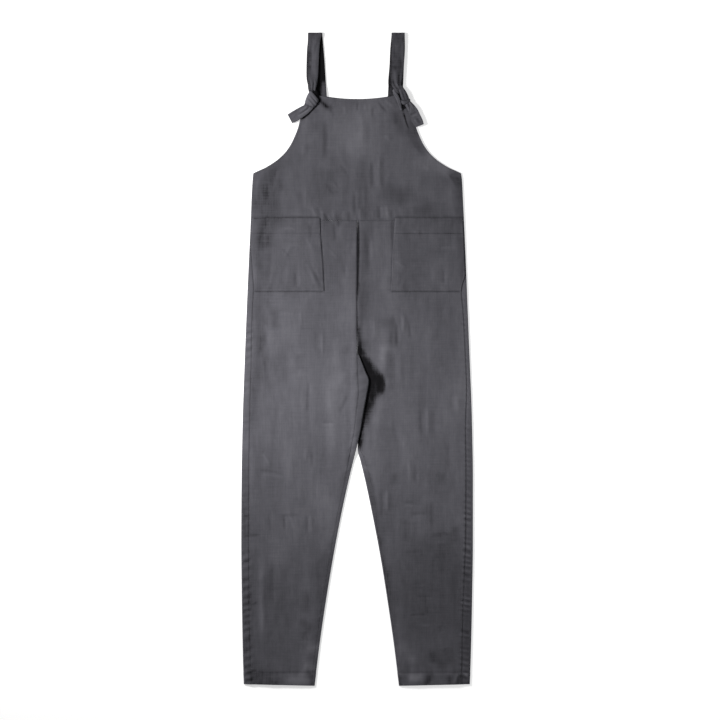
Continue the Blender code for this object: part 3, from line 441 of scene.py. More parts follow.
# The main creases of the front, where they lie in the cloth: from one end to the other, how far
# the middle bends aside, half the width and the height, which is less than 0 for troughs. The
# small ones along the waist seam are puckers of the seam.
FRONT_CREASES = table(
    "x1 down1 x2 down2 bend half rise",
    # bib
    (-16, 170, -11, 280, 0, 33.0, 0.77), (11, 177, 11, 249, 0, 8.8, 0.77),
    (27, 190, 27, 258, 0, 8.8, -0.59), (-70, 188, -70, 280, 2, 7.9, -1.19),
    (-86, 174, -86, 227, 0, 13.2, -0.51), (-108, 183, -113, 258, 0, 13.2, 0.59),
    (-117, 245, -117, 273, 0, 7.0, 0.59), (63, 225, 74, 238, 0, 5.3, 0.68),
    (34, 276, 35, 350, 0, 5.1, -1.44), (48, 265, 49, 350, 0, 4.6, 1.02),
    (59, 258, 59, 355, 0, 5.7, -0.77), (16, 320, 15, 397, 0, 4.6, 0.85),
    (-6, 346, -3, 403, 0, 4.8, -1.10), (6, 258, 2, 315, 0, 11.0, 0.51),
    (87, 170, 90, 207, 1, 10.1, -1.70), (46, 150, 70, 177, -1, 4.4, -1.27),
    (59, 146, 85, 166, 0, 4.8, 0.77), (114, 203, 143, 265, -3, 10.1, -1.44),
    (121, 276, 180, 320, 3, 18.7, 1.02), (147, 291, 162, 306, 0, 6.6, 0.59),
    (206, 309, 231, 335, 0, 8.8, -1.61), (191, 304, 226, 361, 3, 4.8, 0.77),
    (231, 320, 231, 381, 0, 5.7, -0.94), (-179, 287, -209, 361, 3, 14.3, -1.50),
    (-174, 293, -190, 346, 0, 6.6, -1.02), (-218, 311, -221, 383, 0, 8.8, 1.02),
    (-69, 328, -50, 359, 1, 4.2, -1.10), (-60, 324, -40, 350, 1, 4.4, 0.68),
    (-38, 291, -22, 315, 3, 4.2, -0.85), (-113, 335, -113, 388, 0, 2.9, 0.68),
    (-126, 342, -119, 399, 0, 8.8, -0.51), (-146, 289, -135, 386, 0, 13.2, 0.37),
    (-88, 280, -80, 394, 0, 13.2, -0.51), (-31, 311, -38, 399, 0, 8.8, 0.51),
    (-16, 298, -18, 372, 0, 6.6, -0.51), (90, 258, 99, 368, 0, 15.4, 0.34),
    (103, 346, 187, 397, 2, 15.4, -0.59), (88, 324, 90, 397, 0, 6.6, 0.42),
    (-51, 157, -51, 188, 0, 4.4, -0.51), (-27, 157, -25, 183, 0, 4.4, 0.59),
    (2, 152, 2, 174, 0, 3.5, -0.77), (36, 161, 36, 188, 0, 4.4, -0.68),
    (19, 155, 19, 174, 0, 4.0, 0.59), (-56, 155, -56, 181, 0, 4.0, -0.85),
    # waist puckers
    (-102, 381, -88, 410, 1, 4.0, 0.85), (-89, 381, -78, 410, 1, 3.7, -1.02),
    (-78, 390, -71, 411, 0, 4.0, 0.94), (-78, 396, -53, 423, 1, 3.5, -1.44),
    (-49, 388, -51, 411, 0, 3.7, 0.85), (-44, 399, -37, 430, 0, 4.2, -0.94),
    (-28, 388, -29, 412, 0, 3.7, 0.68), (-16, 390, -18, 419, 0, 4.0, -0.77),
    (8, 386, 6, 411, 0, 3.7, 0.85), (21, 392, 22, 416, 0, 4.2, -1.02), (34, 390, 35, 411, 0, 3.7, 0.68),
    (48, 377, 49, 414, 1, 4.2, -1.19), (66, 377, 68, 410, 0, 4.8, 1.02),
    (77, 386, 79, 416, 0, 4.0, -1.02), (96, 379, 94, 408, 0, 5.3, 0.59),
    (114, 383, 116, 410, 0, 4.8, -0.59),
    # viewer's left pocket and hip
    (-208, 403, -209, 491, 1, 8.4, -1.6), (-223, 414, -223, 568, 0, 7.0, 0.85),
    (-104, 419, -102, 454, 2, 5.7, -0.85), (-115, 445, -93, 485, 0, 4.8, 0.51),
    (-163, 432, -132, 436, 3, 3.1, 0.85), (-154, 469, -119, 470, 2, 3.3, 0.68),
    (-168, 471, -143, 496, 0, 3.5, -0.68), (-143, 467, -163, 498, 0, 3.3, 0.68),
    (-135, 522, -135, 564, 0, 4.4, -0.94), (-125, 531, -125, 566, 0, 4.4, 0.77),
    (-102, 513, -76, 564, 1, 4.4, -0.94), (-113, 504, -88, 559, 1, 4.8, 0.59),
    (-181, 513, -196, 568, 1, 5.7, 0.68), (-191, 478, -196, 546, 0, 7.0, -0.59),
    (-152, 504, -154, 562, 0, 6.6, 0.42), (-53, 410, -48, 463, 2, 5.1, -1.10),
    (-36, 414, -31, 469, 0, 8.8, 0.68), (-59, 480, -42, 497, 0, 3.5, 0.77),
    (-28, 507, -26, 537, 0, 3.1, -0.59), (-18, 423, -16, 570, 0, 8.8, 0.42),
    (3, 394, 1, 600, 1, 4.4, -2.0), (0, 540, 1, 702, 0, 2.9, -1.36), (21, 427, 25, 537, 2, 7.0, -1.27),
    (43, 410, 47, 504, 0, 8.8, 0.68), (33, 447, 33, 504, 0, 2.9, 0.59),
    (61, 504, 63, 588, 0, 8.8, 0.42), (78, 408, 79, 467, 0, 4.0, -1.53),
    # viewer's right pocket
    (123, 436, 138, 444, 0, 4.0, 0.85), (138, 498, 209, 469, 2, 24.2, -0.68),
    (178, 475, 233, 475, 1, 3.5, 0.59), (83, 504, 110, 520, 1, 3.5, 0.77),
    (101, 522, 92, 562, 0, 4.8, -0.59), (191, 515, 191, 559, 0, 4.4, -0.85),
    (167, 509, 170, 553, 0, 5.3, 0.51), (116, 518, 149, 504, 0, 6.6, 0.51),
    (217, 419, 222, 500, 0, 8.8, 0.42), (140, 425, 145, 469, 0, 5.7, -0.42),
    (235, 478, 230, 568, 1, 4.0, -1.87),
    # viewer's left leg
    (-213, 575, -217, 812, 3, 9.2, -1.1), (-194, 623, -192, 760, 1, 9.2, 0.4),
    (-199, 640, -196, 664, 0, 4.4, 0.6), (-200, 690, -196, 716, 0, 4.0, 0.55),
    (-203, 664, -198, 690, 0, 4.0, -0.6), (-202, 722, -199, 752, 0, 4.4, -0.5),
    (-201, 579, -181, 630, 0, 6.6, -0.59), (-179, 620, -126, 620, 1, 2.6, 0.68),
    (-125, 612, -122, 647, 0, 2.6, 0.59), (-126, 650, -97, 649, 0, 2.6, -0.59),
    (-77, 652, -76, 713, 0, 3.1, 0.85), (-91, 650, -89, 707, 0, 5.7, -0.48),
    (-107, 760, -109, 843, 1, 5.1, -1.10), (-121, 694, -119, 782, 0, 8.8, 0.48),
    (-18, 793, -40, 841, 1, 5.7, -0.94), (-58, 760, -58, 843, 0, 17.6, 0.94),
    (-25, 744, -47, 793, 0, 8.8, 0.51), (-80, 858, -42, 858, 1, 2.9, -0.85),
    (-80, 864, -44, 864, 1, 2.9, 0.59), (-135, 716, -131, 801, 0, 8.8, 0.37),
    (-159, 650, -161, 773, 0, 11.0, -0.37), (-172, 804, -179, 905, 0, 8.8, -0.48),
    (-195, 826, -191, 922, 0, 8.8, 0.65), (-209, 892, -214, 1037, 0, 8.8, -0.59),
    (-110, 911, -115, 944, 0, 4.4, 0.85), (-98, 918, -98, 960, 0, 5.1, -0.85),
    (-71, 870, -69, 971, 0, 8.8, -0.42), (-49, 870, -60, 993, 0, 11.0, 0.48),
    (-209, 925, -190, 955, 1, 3.7, 0.85), (-218, 964, -157, 972, 2, 3.1, -1.02),
    (-212, 973, -161, 980, 1, 3.1, 0.77), (-148, 892, -143, 971, 0, 11.0, 0.42),
    (-93, 958, -91, 1037, 0, 6.6, -0.51), (-18, 696, -16, 751, 0, 6.6, 0.51),
    (-126, 975, -124, 1037, 0, 6.6, 0.48), (-160, 1059, -158, 1098, 0, 3.7, -1.10),
    (-176, 1065, -115, 1062, 1, 3.1, -0.85), (-152, 1048, -135, 1096, 0, 4.8, 0.54),
    (-109, 1059, -109, 1107, 0, 3.5, -0.85), (-100, 1054, -100, 1103, 0, 4.0, 0.65),
    (-192, 1035, -190, 1109, 0, 5.7, -0.42), (-240, 1105, -209, 1105, 0, 3.1, -1.02),
    (-210, 1142, -209, 1354, 2, 8.1, 1.36), (-186, 1158, -189, 1270, 1, 9.2, -1.61),
    (-80, 1136, -80, 1268, 0, 12.1, -0.85), (-110, 1147, -106, 1345, 0, 13.2, 0.37),
    (-135, 1156, -143, 1257, 0, 8.8, 0.42), (-113, 1314, -113, 1340, 0, 9.2, -1.02),
    (-110, 1347, -117, 1433, 0, 14.3, 1.10), (-192, 1305, -187, 1389, 0, 11.0, -0.54),
    (-150, 1354, -148, 1393, 0, 11.0, -0.48), (-163, 1270, -161, 1336, 0, 8.8, 0.37),
    (-236, 1424, -216, 1428, 0, 11.0, -1.36), (-190, 1413, -176, 1431, 0, 11.0, 0.68),
    (-209, 1413, -146, 1410, 0, 4.4, -0.59),
    # viewer's right leg
    (87, 636, 88, 694, 1, 4.4, -1.70), (81, 614, 78, 696, 0, 7.0, -0.85),
    (102, 617, 102, 663, 0, 4.4, 1.19), (112, 623, 120, 680, 0, 4.8, -0.85),
    (13, 570, 11, 689, 0, 8.8, -0.85), (37, 628, 41, 680, 0, 8.8, 0.85),
    (57, 680, 59, 742, 2, 14.3, 1.36), (77, 746, 79, 795, 0, 13.2, -0.85),
    (154, 815, 155, 894, 1, 4.8, 1.02), (141, 821, 141, 892, 0, 4.8, -0.85),
    (168, 826, 170, 900, 0, 6.6, -0.54), (220, 793, 220, 839, 0, 6.6, 0.68),
    (96, 694, 94, 773, 0, 8.8, 0.54), (121, 694, 123, 795, 0, 8.8, -0.48),
    (160, 639, 162, 751, 0, 13.2, 0.48), (184, 584, 184, 694, 0, 8.8, -0.42),
    (50, 799, 46, 870, 0, 11.0, 0.65), (85, 848, 90, 949, 0, 8.8, -0.54),
    (105, 870, 105, 971, 0, 8.8, 0.48), (85, 966, 85, 999, 0, 13.2, -0.94),
    (189, 966, 189, 1002, 0, 15.4, -0.94), (113, 931, 118, 993, 0, 5.7, 0.85),
    (129, 940, 129, 997, 0, 4.8, -0.85), (200, 892, 202, 966, 0, 6.6, -0.54),
    (160, 953, 162, 1002, 0, 6.6, -0.51), (67, 999, 66, 1059, 0, 5.3, 1.19),
    (55, 997, 55, 1076, 0, 4.8, -0.71), (101, 1034, 132, 1036, 1, 3.1, -0.94),
    (101, 1041, 129, 1042, 1, 3.1, 0.71), (118, 1060, 158, 1059, 1, 3.1, -0.94),
    (160, 1108, 220, 1105, 2, 4.2, -1.44), (171, 1119, 200, 1123, 0, 4.8, 1.02),
    (103, 1145, 149, 1142, 0, 5.7, -0.71), (160, 1019, 160, 1098, 0, 4.8, 0.65),
    (107, 1068, 110, 1131, 0, 6.6, -0.42), (120, 1068, 121, 1120, 0, 5.3, 0.54),
    (195, 1134, 193, 1204, 0, 15.4, -1.02), (118, 1217, 158, 1217, 0, 2.9, 0.77),
    (125, 1241, 171, 1241, 0, 2.9, -0.68), (112, 1282, 158, 1281, 0, 3.7, -1.10),
    (138, 1305, 165, 1305, 0, 2.9, 0.85), (182, 1303, 187, 1321, 0, 6.6, -1.02),
    (94, 1189, 92, 1279, 0, 11.0, 0.48), (102, 1173, 105, 1219, 0, 8.8, -0.54),
    (125, 1365, 125, 1417, 0, 10.1, 0.71), (167, 1360, 171, 1393, 0, 9.2, -1.02),
    (195, 1351, 202, 1373, 0, 9.2, -0.85), (77, 1156, 74, 1257, 0, 6.6, -0.54),
    (81, 1332, 88, 1428, 0, 11.0, 0.54), (217, 1178, 220, 1345, 0, 8.8, -0.48),
    (143, 1160, 140, 1248, 0, 8.8, 0.34), (116, 1417, 140, 1426, 0, 8.8, 0.85),
    (156, 1413, 165, 1433, 0, 6.6, -1.19), (215, 1424, 246, 1428, 0, 13.2, -1.36),
)

# Seams draw the cloth up in small uneven puckers, with their reach to either side, height and pitch
PUCKERS = table(
    "x1 down1 x2 down2 reach rise pitch",
    (-228, 413, 228, 413, 15, 0.42, 13),
    (-222, 568, -74, 568, 13, 0.40, 18),
    (75, 568, 226, 568, 13, 0.40, 18),
    (-83, 408, -73, 568, 9, 0.30, 17),
    (83, 408, 75, 568, 9, 0.30, 17),
    (-230, 442, -82, 442, 6, 0.20, 12),
    (81, 442, 232, 442, 6, 0.20, 12),
    (-88, 148, 88, 148, 13, 0.30, 14),
    (-249, 1406, -92, 1406, 14, 0.40, 17),
    (90, 1406, 248, 1406, 14, 0.40, 15),
)


def puckers(x, down):
    """Height of the puckers along the straight seams of the front."""
    x, down = np.broadcast_arrays(x, down)
    height = np.zeros(x.shape)
    for k, (x1, down1, x2, down2, reach, rise, pitch) in enumerate(zip(*PUCKERS.values())):
        length = math.hypot(x2 - x1, down2 - down1)
        run = ((x2 - x1) / length, (down2 - down1) / length)
        along = (x - x1) * run[0] + (down - down1) * run[1]
        across = abs((x - x1) * run[1] - (down - down1) * run[0])
        near = (along > 0) & (along < length) & (across < 2.5 * reach)
        ends = ease(along[near] / 12) * ease((length - along[near]) / 12)
        wave = rumple(along[near] + 0.3 * across[near], 0.0 * along[near], pitch / 2.4, 1.0, 40 + k)
        height[near] += rise * ends * wave * bell(across[near], reach)
    return height


POCKET_REACH = 226.0  # how far out a pocket's bottom is sewn
POCKET_SIDE = table(
    "down right left",
    (407.7, 82.4, 83.5), (441.8, 81.0, 81.2), (505.0, 76.0, 77.5), (568.5, 73.0, 75.2),
)


def drawn(x, down):
    """1 where a pocket's edge is sewn down and draws the front in beside it, 0 away from it."""
    x, down = np.broadcast_arrays(x, down)
    edge = np.where(x < 0, at(POCKET_SIDE, "right", down), at(POCKET_SIDE, "left", down))
    beside = bell(edge - 0.9 - abs(x), 1.5) * ease((POCKET_BOTTOM + 2 - down) / 2)
    below = bell(down - POCKET_BOTTOM - 0.9, 1.5) * ease((abs(x) - edge + 1.0) / 2)
    return np.maximum(beside * (down > POCKET_TOP), below * (abs(x) < POCKET_REACH))


LADDER_PITCH = {"right": 18.0, "left": 13.5}


def ladder(name, x, down):
    """Puckers across the strips between the folds of a leg and the seams beside them. They are
    even beside the side seam, deepest at the shins, and irregular beside the inseam."""
    x, down = np.broadcast_arrays(x, down)
    pitch = LADDER_PITCH[name]
    inset = SIDES[name] * -x + at(OUTER, name, down)
    seam = at(SIDE_SEAM, name, down)
    size = 0.2 + 0.35 * ease((down - 560) / 60) + 0.55 * ease((down - 1080) / 120)
    size = size * (0.8 + 0.4 * rumple(down, 0 * down, 60.0, 1.0, 61))
    reach = np.where(inset < seam, 1.0, bell(inset - seam, 5.0))
    drift = 2.6 * rumple(down, 0 * down, 1.6 * pitch, 1.0, 62)
    wave = np.sin(TURN * (down + 0.25 * inset) / pitch + drift)
    wave = wave * (0.7 + 0.9 * rumple(down, 0 * down, 1.1 * pitch, 1.0, 64))
    height = np.where(down > UNDERARM, size * reach * ease((inset - 1.8) / 3.5) * wave, 0.0)

    inset = SIDES[name] * (x - at(INNER, name, down))
    seam = at(INSEAM, name, down)
    reach = np.where(inset < seam, 1.0, bell(inset - seam, 7.0))
    wave = rumple(down - 0.4 * inset, 0 * down, 5.2, 2.0, 63)
    return height + np.where(down > FORK, 0.34 * reach * ease((inset - 2.2) / 3.0) * wave, 0.0)


# Unevenness of the front: height, slant, width and length of the patches, and seed
STREAKS = ((0.28, 0.0, 9.0, 50.0, 21), (0.8, 0.1, 27.0, 80.0, 22))
CRINKLES = ((0.16, 0.4, 7.5, 12.0, 24), (0.17, 0.0, 11.0, 5.0, 25))


def crumple(x, down):
    """Unevenness all over the front: long soft streaks down the legs, and crinkles in places."""
    streaks, crinkles = (
        sum(rise * rumple(x + slant * down, down, wide, long, seed)
            for rise, slant, wide, long, seed in sizes)
        for sizes in (STREAKS, CRINKLES)
    )
    return streaks + crinkles * (0.55 + 0.45 * rumple(x, down, 40.0, 60.0, 23))


def loft(name, x, down):
    """Height of the front layer above the back layer, without the creases."""
    x, down = np.broadcast_arrays(x, down)
    sunk = 1 - ease((x - at(HOLLOW, "x", down)) / HOLLOW_BANK)
    sunk = np.where(down <= CROTCH, sunk * ease((down - HOLLOW["down"][0]) / 25) * ease(x / 20), sunk)
    inside = (down > HOLLOW["down"][0]) & (down < HOLLOW["down"][-1])
    if name == "left":
        full = LOFT + BANK_PUFF * bell(x - 82, 42) * bell(down - 745, 95)
        return full - np.where(inside, (full - PRESSED) * sunk, 0.0)
    open_edge = ease((down - 690) / 70) * ease((FORK_END + 20 - down) / 90)
    return LOFT + PUFF * open_edge * ease((x + 42) / 46)


PILLOW, PILLOW_START, PILLOW_REACH = 1.9, 2.2, 8.0  # the fronts rise from the folds in a round
DRAWN_DEPTH = 0.5
STRAP_LIFT = 1.5  # the straps' back runs pass under the bib's top corners


def front_height(name, x, down):
    """Height of the middle of the front layer above the floor."""
    x, down = np.broadcast_arrays(x, down)
    half = np.where(down > UNDERARM, at(OUTER, name, down), at(ARMHOLE, "half", down))
    free = ease((half - abs(x) - EDGE_STRIP) / EDGE_RAMP)
    inset = SIDES[name] * (x - at(INNER, name, down))
    free = np.where(down > CROTCH, free * ease((inset - EDGE_STRIP) / EDGE_RAMP), free)
    lifted = loft(name, x, down)
    free = free * ease((lifted - PRESSED) / (LOFT - PRESSED))
    height = WALL / 2 + lifted + ladder(name, x, down)
    height += np.where(down > CROTCH, lap(name, x, down), lap("right", -abs(x), down) / 2)
    height += (PLUMP + creases(FRONT_CREASES, x, down) + puckers(x, down) + crumple(x, down)) * free
    height -= DRAWN_DEPTH * drawn(x, down) * free
    rise = 1 - np.exp(-np.maximum(half - abs(x) - PILLOW_START, 0) / PILLOW_REACH)
    inner_rise = rise - np.exp(-np.maximum(inset - PILLOW_START, 0) / PILLOW_REACH)
    rise = np.where(down > CROTCH, inner_rise, rise)
    height += PILLOW * np.maximum(rise, 0) * ease((down - UNDERARM) / 60)
    over_strap = ease((abs(x) - 38) / 20) * ease((126 - abs(x)) / 20) * ease((200 - down) / 40)
    return np.maximum(height + STRAP_LIFT * over_strap, WALL / 2 + PRESSED)


BACK_CREASE, BACK_RUMPLE = 0.35, 0.22
CREASE_SHIFT = 9  # the back has the creases of the front mirrored and this much higher up


def back_height(name, x, down):
    """Height of the middle of the back layer, which lies on the floor and is creased upwards."""
    x, down = np.broadcast_arrays(x, down)
    half = np.where(down > UNDERARM, at(OUTER, name, down), at(ARMHOLE, "half", down))
    inset = SIDES[name] * (x - at(INNER, name, down))
    free = ease((half - abs(x) - EDGE_STRIP) / EDGE_RAMP) * ease(inset / 20 + (down < CROTCH))
    rise = BACK_CREASE * abs(creases(FRONT_CREASES, -x, down + CREASE_SHIFT))
    rise = rise + BACK_RUMPLE * (1 + rumple(x, down, 11.0, 55.0, 31))
    turned_up = (wall(down) - WALL) / 2
    return WALL / 2 + turned_up + rise * free + np.where(down >= FORK, lap(name, x, down), 0.0)


# Painted shadows: dark lines on the bib beside the knots, where they shade it
KNOT_SHADOWS = table(
    "x1 down1 x2 down2 bend half rise",
    (-81.0, 144, -101.0, 172, 1.0, 3.4, -0.95),
    (-94.0, 164, -128.0, 194, 2.0, 3.0, -0.9),
    (-102.0, 132, -52.0, 176, 0.0, 7.5, -0.48),
    (101.0, 170, 114.7, 216, -1.0, 2.6, -0.50),
    (84.0, 146, 104.0, 176, 0.0, 3.0, -0.60),
)

# Broad soft patches of painted light, where the cloth is paler than its relief makes it, or,
# less than 0, of painted shade, where it is darker
PAINTED_LIGHT_AND_SHADE = table(
    "x1 down1 x2 down2 bend half rise",
    # bib
    (90, 160, 98, 240, 2, 12, -0.24), (104, 200, 146, 274, 3, 7, -0.28),
    (-96, 165, -88, 178, 0, 6, -0.25), (-240, 322, -222, 396, 0, 14, -0.2),
    (-176, 316, -162, 350, 0, 9, -0.25), (204, 316, 204, 424, 0, 13, 0.2),
    (112, 186, 134, 238, 2, 8, -0.4), (-230, 409, -204, 409, 0, 3.0, -0.3),
    (-158, 236, -224, 430, -4, 26, -0.40), (-200, 322, -178, 436, 0, 26, -0.34),
    (-70, 180, -72, 300, 0, 18, -0.10), (-66, 290, -60, 370, 0, 30, -0.16),
    (-6, 140, -10, 290, 0, 56, 0.15), (10, 250, 14, 420, 0, 16, -0.22),
    (46, 340, 118, 372, 0, 30, -0.30), (150, 256, 206, 318, 0, 26, 0.42),
    (118, 392, 172, 392, 0, 13, -0.30), (220, 300, 228, 372, 0, 14, -0.25),
    (140, 330, 210, 380, 0, 30, 0.14),
    # waist to fork
    (-200, 390, -194, 486, 0, 18, -0.24), (-7, 452, -7, 498, 0, 8, 0.18),
    (32, 376, 28, 476, 0, 16, -0.2), (231, 414, 232, 456, 0, 10, 0.22),
    (-211, 400, -212, 476, 0, 12, -0.2), (-226, 420, -224, 540, 0, 18, -0.18),
    (12, 415, 10, 640, 2, 14, -0.26), (172, 400, 178, 600, 0, 64, 0.16),
    # viewer's left leg
    (-250, 1063, -238, 1063, 0, 2.2, -0.6), (-252, 1107, -212, 1105, 0, 2.6, -0.6),
    (-252, 1162, -232, 1160, 0, 2.2, -0.5), (-238, 1262, -218, 1251, 0, 3.0, -0.5),
    (-241, 1268, -241, 1330, 0, 2.0, -0.3), (-226, 700, -226, 860, 0, 9, -0.20),
    (-47, 664, -47, 744, 0, 14, 0.22), (-113, 1222, -113, 1284, 0, 13, -0.22),
    (-113, 910, -80, 1066, 0, 18, 0.09), (-168, 1110, -176, 1180, 0, 17, 0.08),
    (-219, 1140, -219, 1330, 0, 9, 0.08), (-86, 1336, -86, 1380, 0, 8, 0.28),
    (-180, 600, -180, 660, 0, 14, -0.24), (-218, 640, -218, 730, 0, 14, -0.2),
    (-128, 700, -124, 750, 0, 13, -0.22), (-209, 590, -206, 790, 3, 12, -0.36),
    (-232, 730, -236, 900, 0, 14, -0.14), (-248, 900, -248, 1180, 0, 13, -0.36),
    (-246, 1120, -246, 1450, 0, 16, -0.40), (-226, 1120, -228, 1400, 0, 14, -0.32),
    (-48, 1000, -62, 1150, 0, 20, 0.16), (-128, 1290, -96, 1316, 0, 10, -0.30),
    (-116, 1350, -86, 1356, 0, 16, 0.30), (-205, 1180, -206, 1280, 0, 12, -0.18),
    (-226, 1160, -226, 1370, 0, 8, 0.20), (-40, 690, -64, 950, 0, 30, 0.26),
    (-150, 620, -130, 760, 0, 30, 0.10),
    # viewer's right leg
    (3, 640, 9, 712, 0, 5.5, -0.35), (12, 672, 22, 708, 0, 11, -0.3), (7, 890, 7, 926, 0, 6, -0.35),
    (72, 690, 72, 770, 0, 14, -0.24), (158, 1024, 160, 1090, 0, 14, -0.22),
    (112, 1066, 112, 1124, 0, 12, -0.22), (85, 1210, 85, 1268, 0, 12, -0.22),
    (18, 560, 18, 652, 0, 9, -0.2), (70, 612, 78, 706, 0, 22, -0.26),
    (217, 1080, 217, 1130, 0, 9, -0.3), (32, 1015, 36, 1065, 0, 9, -0.4),
    (58, 1165, 62, 1232, 0, 11, -0.4), (204, 1350, 204, 1390, 0, 10, -0.3),
    (158, 1110, 222, 1106, 0, 5.0, -0.14), (56, 735, 58, 810, 0, 14, -0.28),
    (62, 640, 62, 712, 0, 14, 0.15), (236, 450, 243, 900, 0, 22, 0.30),
    (12, 910, 84, 1330, -3, 11, -0.66), (96, 1150, 240, 1120, 0, 38, -0.16),
    (160, 1050, 162, 1340, 0, 90, -0.19), (206, 1140, 210, 1220, 0, 14, -0.12),
    (240, 1130, 240, 1400, 0, 8, -0.14), (230, 1180, 226, 1330, 0, 9, -0.14),
    (96, 1330, 118, 1395, 0, 16, 0.24),
    # viewer's left hem
    (-246, 1412, -164, 1412, 0, 13, -0.45), (-104, 1396, -100, 1442, 0, 8, -0.4),
    (-238, 1376, -224, 1438, 0, 17, -0.35), (-268, 1434, -160, 1432, 0, 12, -0.95),
    (-268, 1428, -222, 1436, 0, 18, -0.5), (-170, 1424, -80, 1424, 0, 13, 0.42),
    (-122, 1392, -88, 1396, 0, 14, 0.32),
    # viewer's right hem
    (148, 1360, 200, 1398, 0, 12, -0.35), (90, 1410, 95, 1450, 0, 7, -0.70),
    (104, 1418, 152, 1420, 0, 12, 0.50), (148, 1444, 168, 1404, 0, 7, -0.65),
    (168, 1424, 206, 1424, 0, 11, 0.10), (206, 1448, 200, 1408, 0, 6, -0.50),
    (214, 1434, 222, 1408, 0, 5, 0.30), (216, 1446, 234, 1406, 0, 7, -0.65),
    (236, 1406, 244, 1422, 0, 4, 0.35), (230, 1440, 262, 1434, 0, 9, -0.60),
)


# The tone is 0.5 where nothing sets it off. These are how far each mm of the relief does so, as
# painted light on ridges and painted shade in folds, and then the seams and edges, which are
# darker lines of painted shade, and how much painted shade darkens the legs from the shins down.
CREASE_TONE, PUCKER_TONE, CRUMPLE_TONE, PATCH_TONE = 0.13, 0.22, 0.1, 0.05
LADDER_TONE = {"right": 0.17, "left": 0.3}
SIDE_SEAM_TONE, SHIN_SEAM_TONE, SHIN_TONE = 0.34, 0.3, 0.09
POCKET_EDGE_TONE, POCKET_MOUTH_TONE = 0.34, {"right": 0.9, "left": 0.6}
HEM_TONE, HEM_ROLL_TONE, WAIST_TONE, LAP_EDGE_TONE = 0.3, 0.14, 0.18, 0.45
DARKEST = (0.36, 0.20)  # from here down a fold darkens less and less, by no more than this


def seam_shade(name, x, down):
    """How much darker painted shade makes the front along its seams, beside the edges that are sewn
    on it, in the pockets' mouths and beside the lap's edge; the roll below a hem gets a painted
    highlight.
    """
    inset = SIDES[name] * -x + at(OUTER, name, down)
    beside = np.where(down > WAIST, inset - at(SIDE_SEAM, name, down), 99)
    shade = (SIDE_SEAM_TONE + SHIN_SEAM_TONE * ease((down - 900) / 150)) * bell(beside, 1.4)
    shade = shade + POCKET_EDGE_TONE * drawn(x, down)
    mouth = bell(down - POCKET_TOP + 1.2, 1.6) * ease((abs(x) - 80) / 4)
    shade = shade + POCKET_MOUTH_TONE[name] * mouth
    turned_up = down - HEM_TOP
    shade = shade + HEM_TONE * bell(turned_up, 1.5) - HEM_ROLL_TONE * bell(turned_up - 5, 3.0)
    shade = shade + WAIST_TONE * bell(down - WAIST, 1.2) * ease((81 - abs(x)) / 3)
    if name == "right":
        rim = SIDES[name] * (x - at(INNER, name, down))
        shade = shade + LAP_EDGE_TONE * bell(rim, 2.2) * ease((down - FORK_END) / 40)
    return shade


def centre_shade(x, down):
    """Painted shade at the seam down the centre front: a soft dark line above, and below only a
    shade beside it.
    """
    upper = ease((640 - down) / 170)
    shade = (0.02 + 0.36 * upper) * bell(x - 0.4 - 1.6 * upper, 1.0 + 1.9 * upper)
    shade = shade + np.where(x > 0, 0.26 * (1 - upper) * bell(x, 11.0), 0.0)
    return shade * ease((down - WAIST) / 4) * ease((CROTCH - down) / 20)


def hollow_shade(x, down):
    """Painted shadow in the deep hollow beside the lap of the fork, which darkens fast at its edge,
    then slowly.
    """
    reach = at(HOLLOW, "x", down) + HOLLOW_BANK + 5 * ease((down - 764) / 30)
    deep = ease((reach - x) / 30) * ease((down - 664) / 66) * ease((926 - down) / 25)
    return np.where(deep < 0.25, 1.12 * deep, 0.28 + 0.36 * (deep - 0.25))


def front_tone_and_shade(name, x, down):
    """The front's tone with painted light and shade: its ridges are painted paler than its folds,
    and no fold outside the painted shadows of the hollow and the centre front is quite black."""
    tone_and_shade = 0.5 + CREASE_TONE * creases(FRONT_CREASES, x, down) + PUCKER_TONE * puckers(x, down)
    tone_and_shade = tone_and_shade + LADDER_TONE[name] * ladder(name, x, down) + CRUMPLE_TONE * crumple(x, down)
    tone_and_shade = tone_and_shade + PATCH_TONE * rumple(x, down, 34.0, 60.0, 33) - SHIN_TONE * ease((down - 1090) / 110)
    tone_and_shade = tone_and_shade + creases(PAINTED_LIGHT_AND_SHADE, x, down) - seam_shade(name, x, down)
    shade = np.maximum(DARKEST[0] - tone_and_shade, 0)
    tone_and_shade = np.where(shade > 0, DARKEST[0] - DARKEST[1] * np.tanh(shade / 0.4), tone_and_shade)
    tone_and_shade = tone_and_shade + creases(KNOT_SHADOWS, x, down) - centre_shade(x, down)
    return tone_and_shade - hollow_shade(x, down) if name == "left" else tone_and_shade


def wall(down):
    """Thickness of one layer: the hems are turned up."""
    return WALL + (HEM_WALL - WALL) * ease((down - HEM_TOP) / 1.4)


def on_path(inset, layers=LOFT):
    """Distance along a fold's section to a place on the front, this far in from the fold. layers
    is the height of the front over the back there."""
    return np.where(inset > layers / 2, inset + layers / 2 * (QUARTER - 1), inset)


def fold(name, edge, facing, layers, down, s):
    """Points round a fold between back and front, as x, down, z. edge is the x of its outermost
    point, facing the way it points, layers the height of front over back there, and s the
    distance along the section from that point, more than 0 on the front."""
    radius = layers / 2
    angle = np.clip(s / radius, -QUARTER, QUARTER)
    run = np.maximum(abs(s) - radius * QUARTER, 0.0)
    x = edge - facing * (radius + run - radius * np.cos(angle))
    down = np.broadcast_to(down, x.shape)
    z = back_height(name, np.broadcast_to(edge, x.shape), down) + radius * (1 + np.sin(angle))
    z = np.where(s > radius * QUARTER, front_height(name, x, down), z)
    z = np.where(s < -radius * QUARTER, back_height(name, x, down), z)
    return np.stack([x, down, z], -1)


DIP_WIDTH = 1.3


def dip(distance, depth=0.5):
    """How far the cloth goes down into a seam at this distance from it."""
    return depth * bell(distance, DIP_WIDTH)


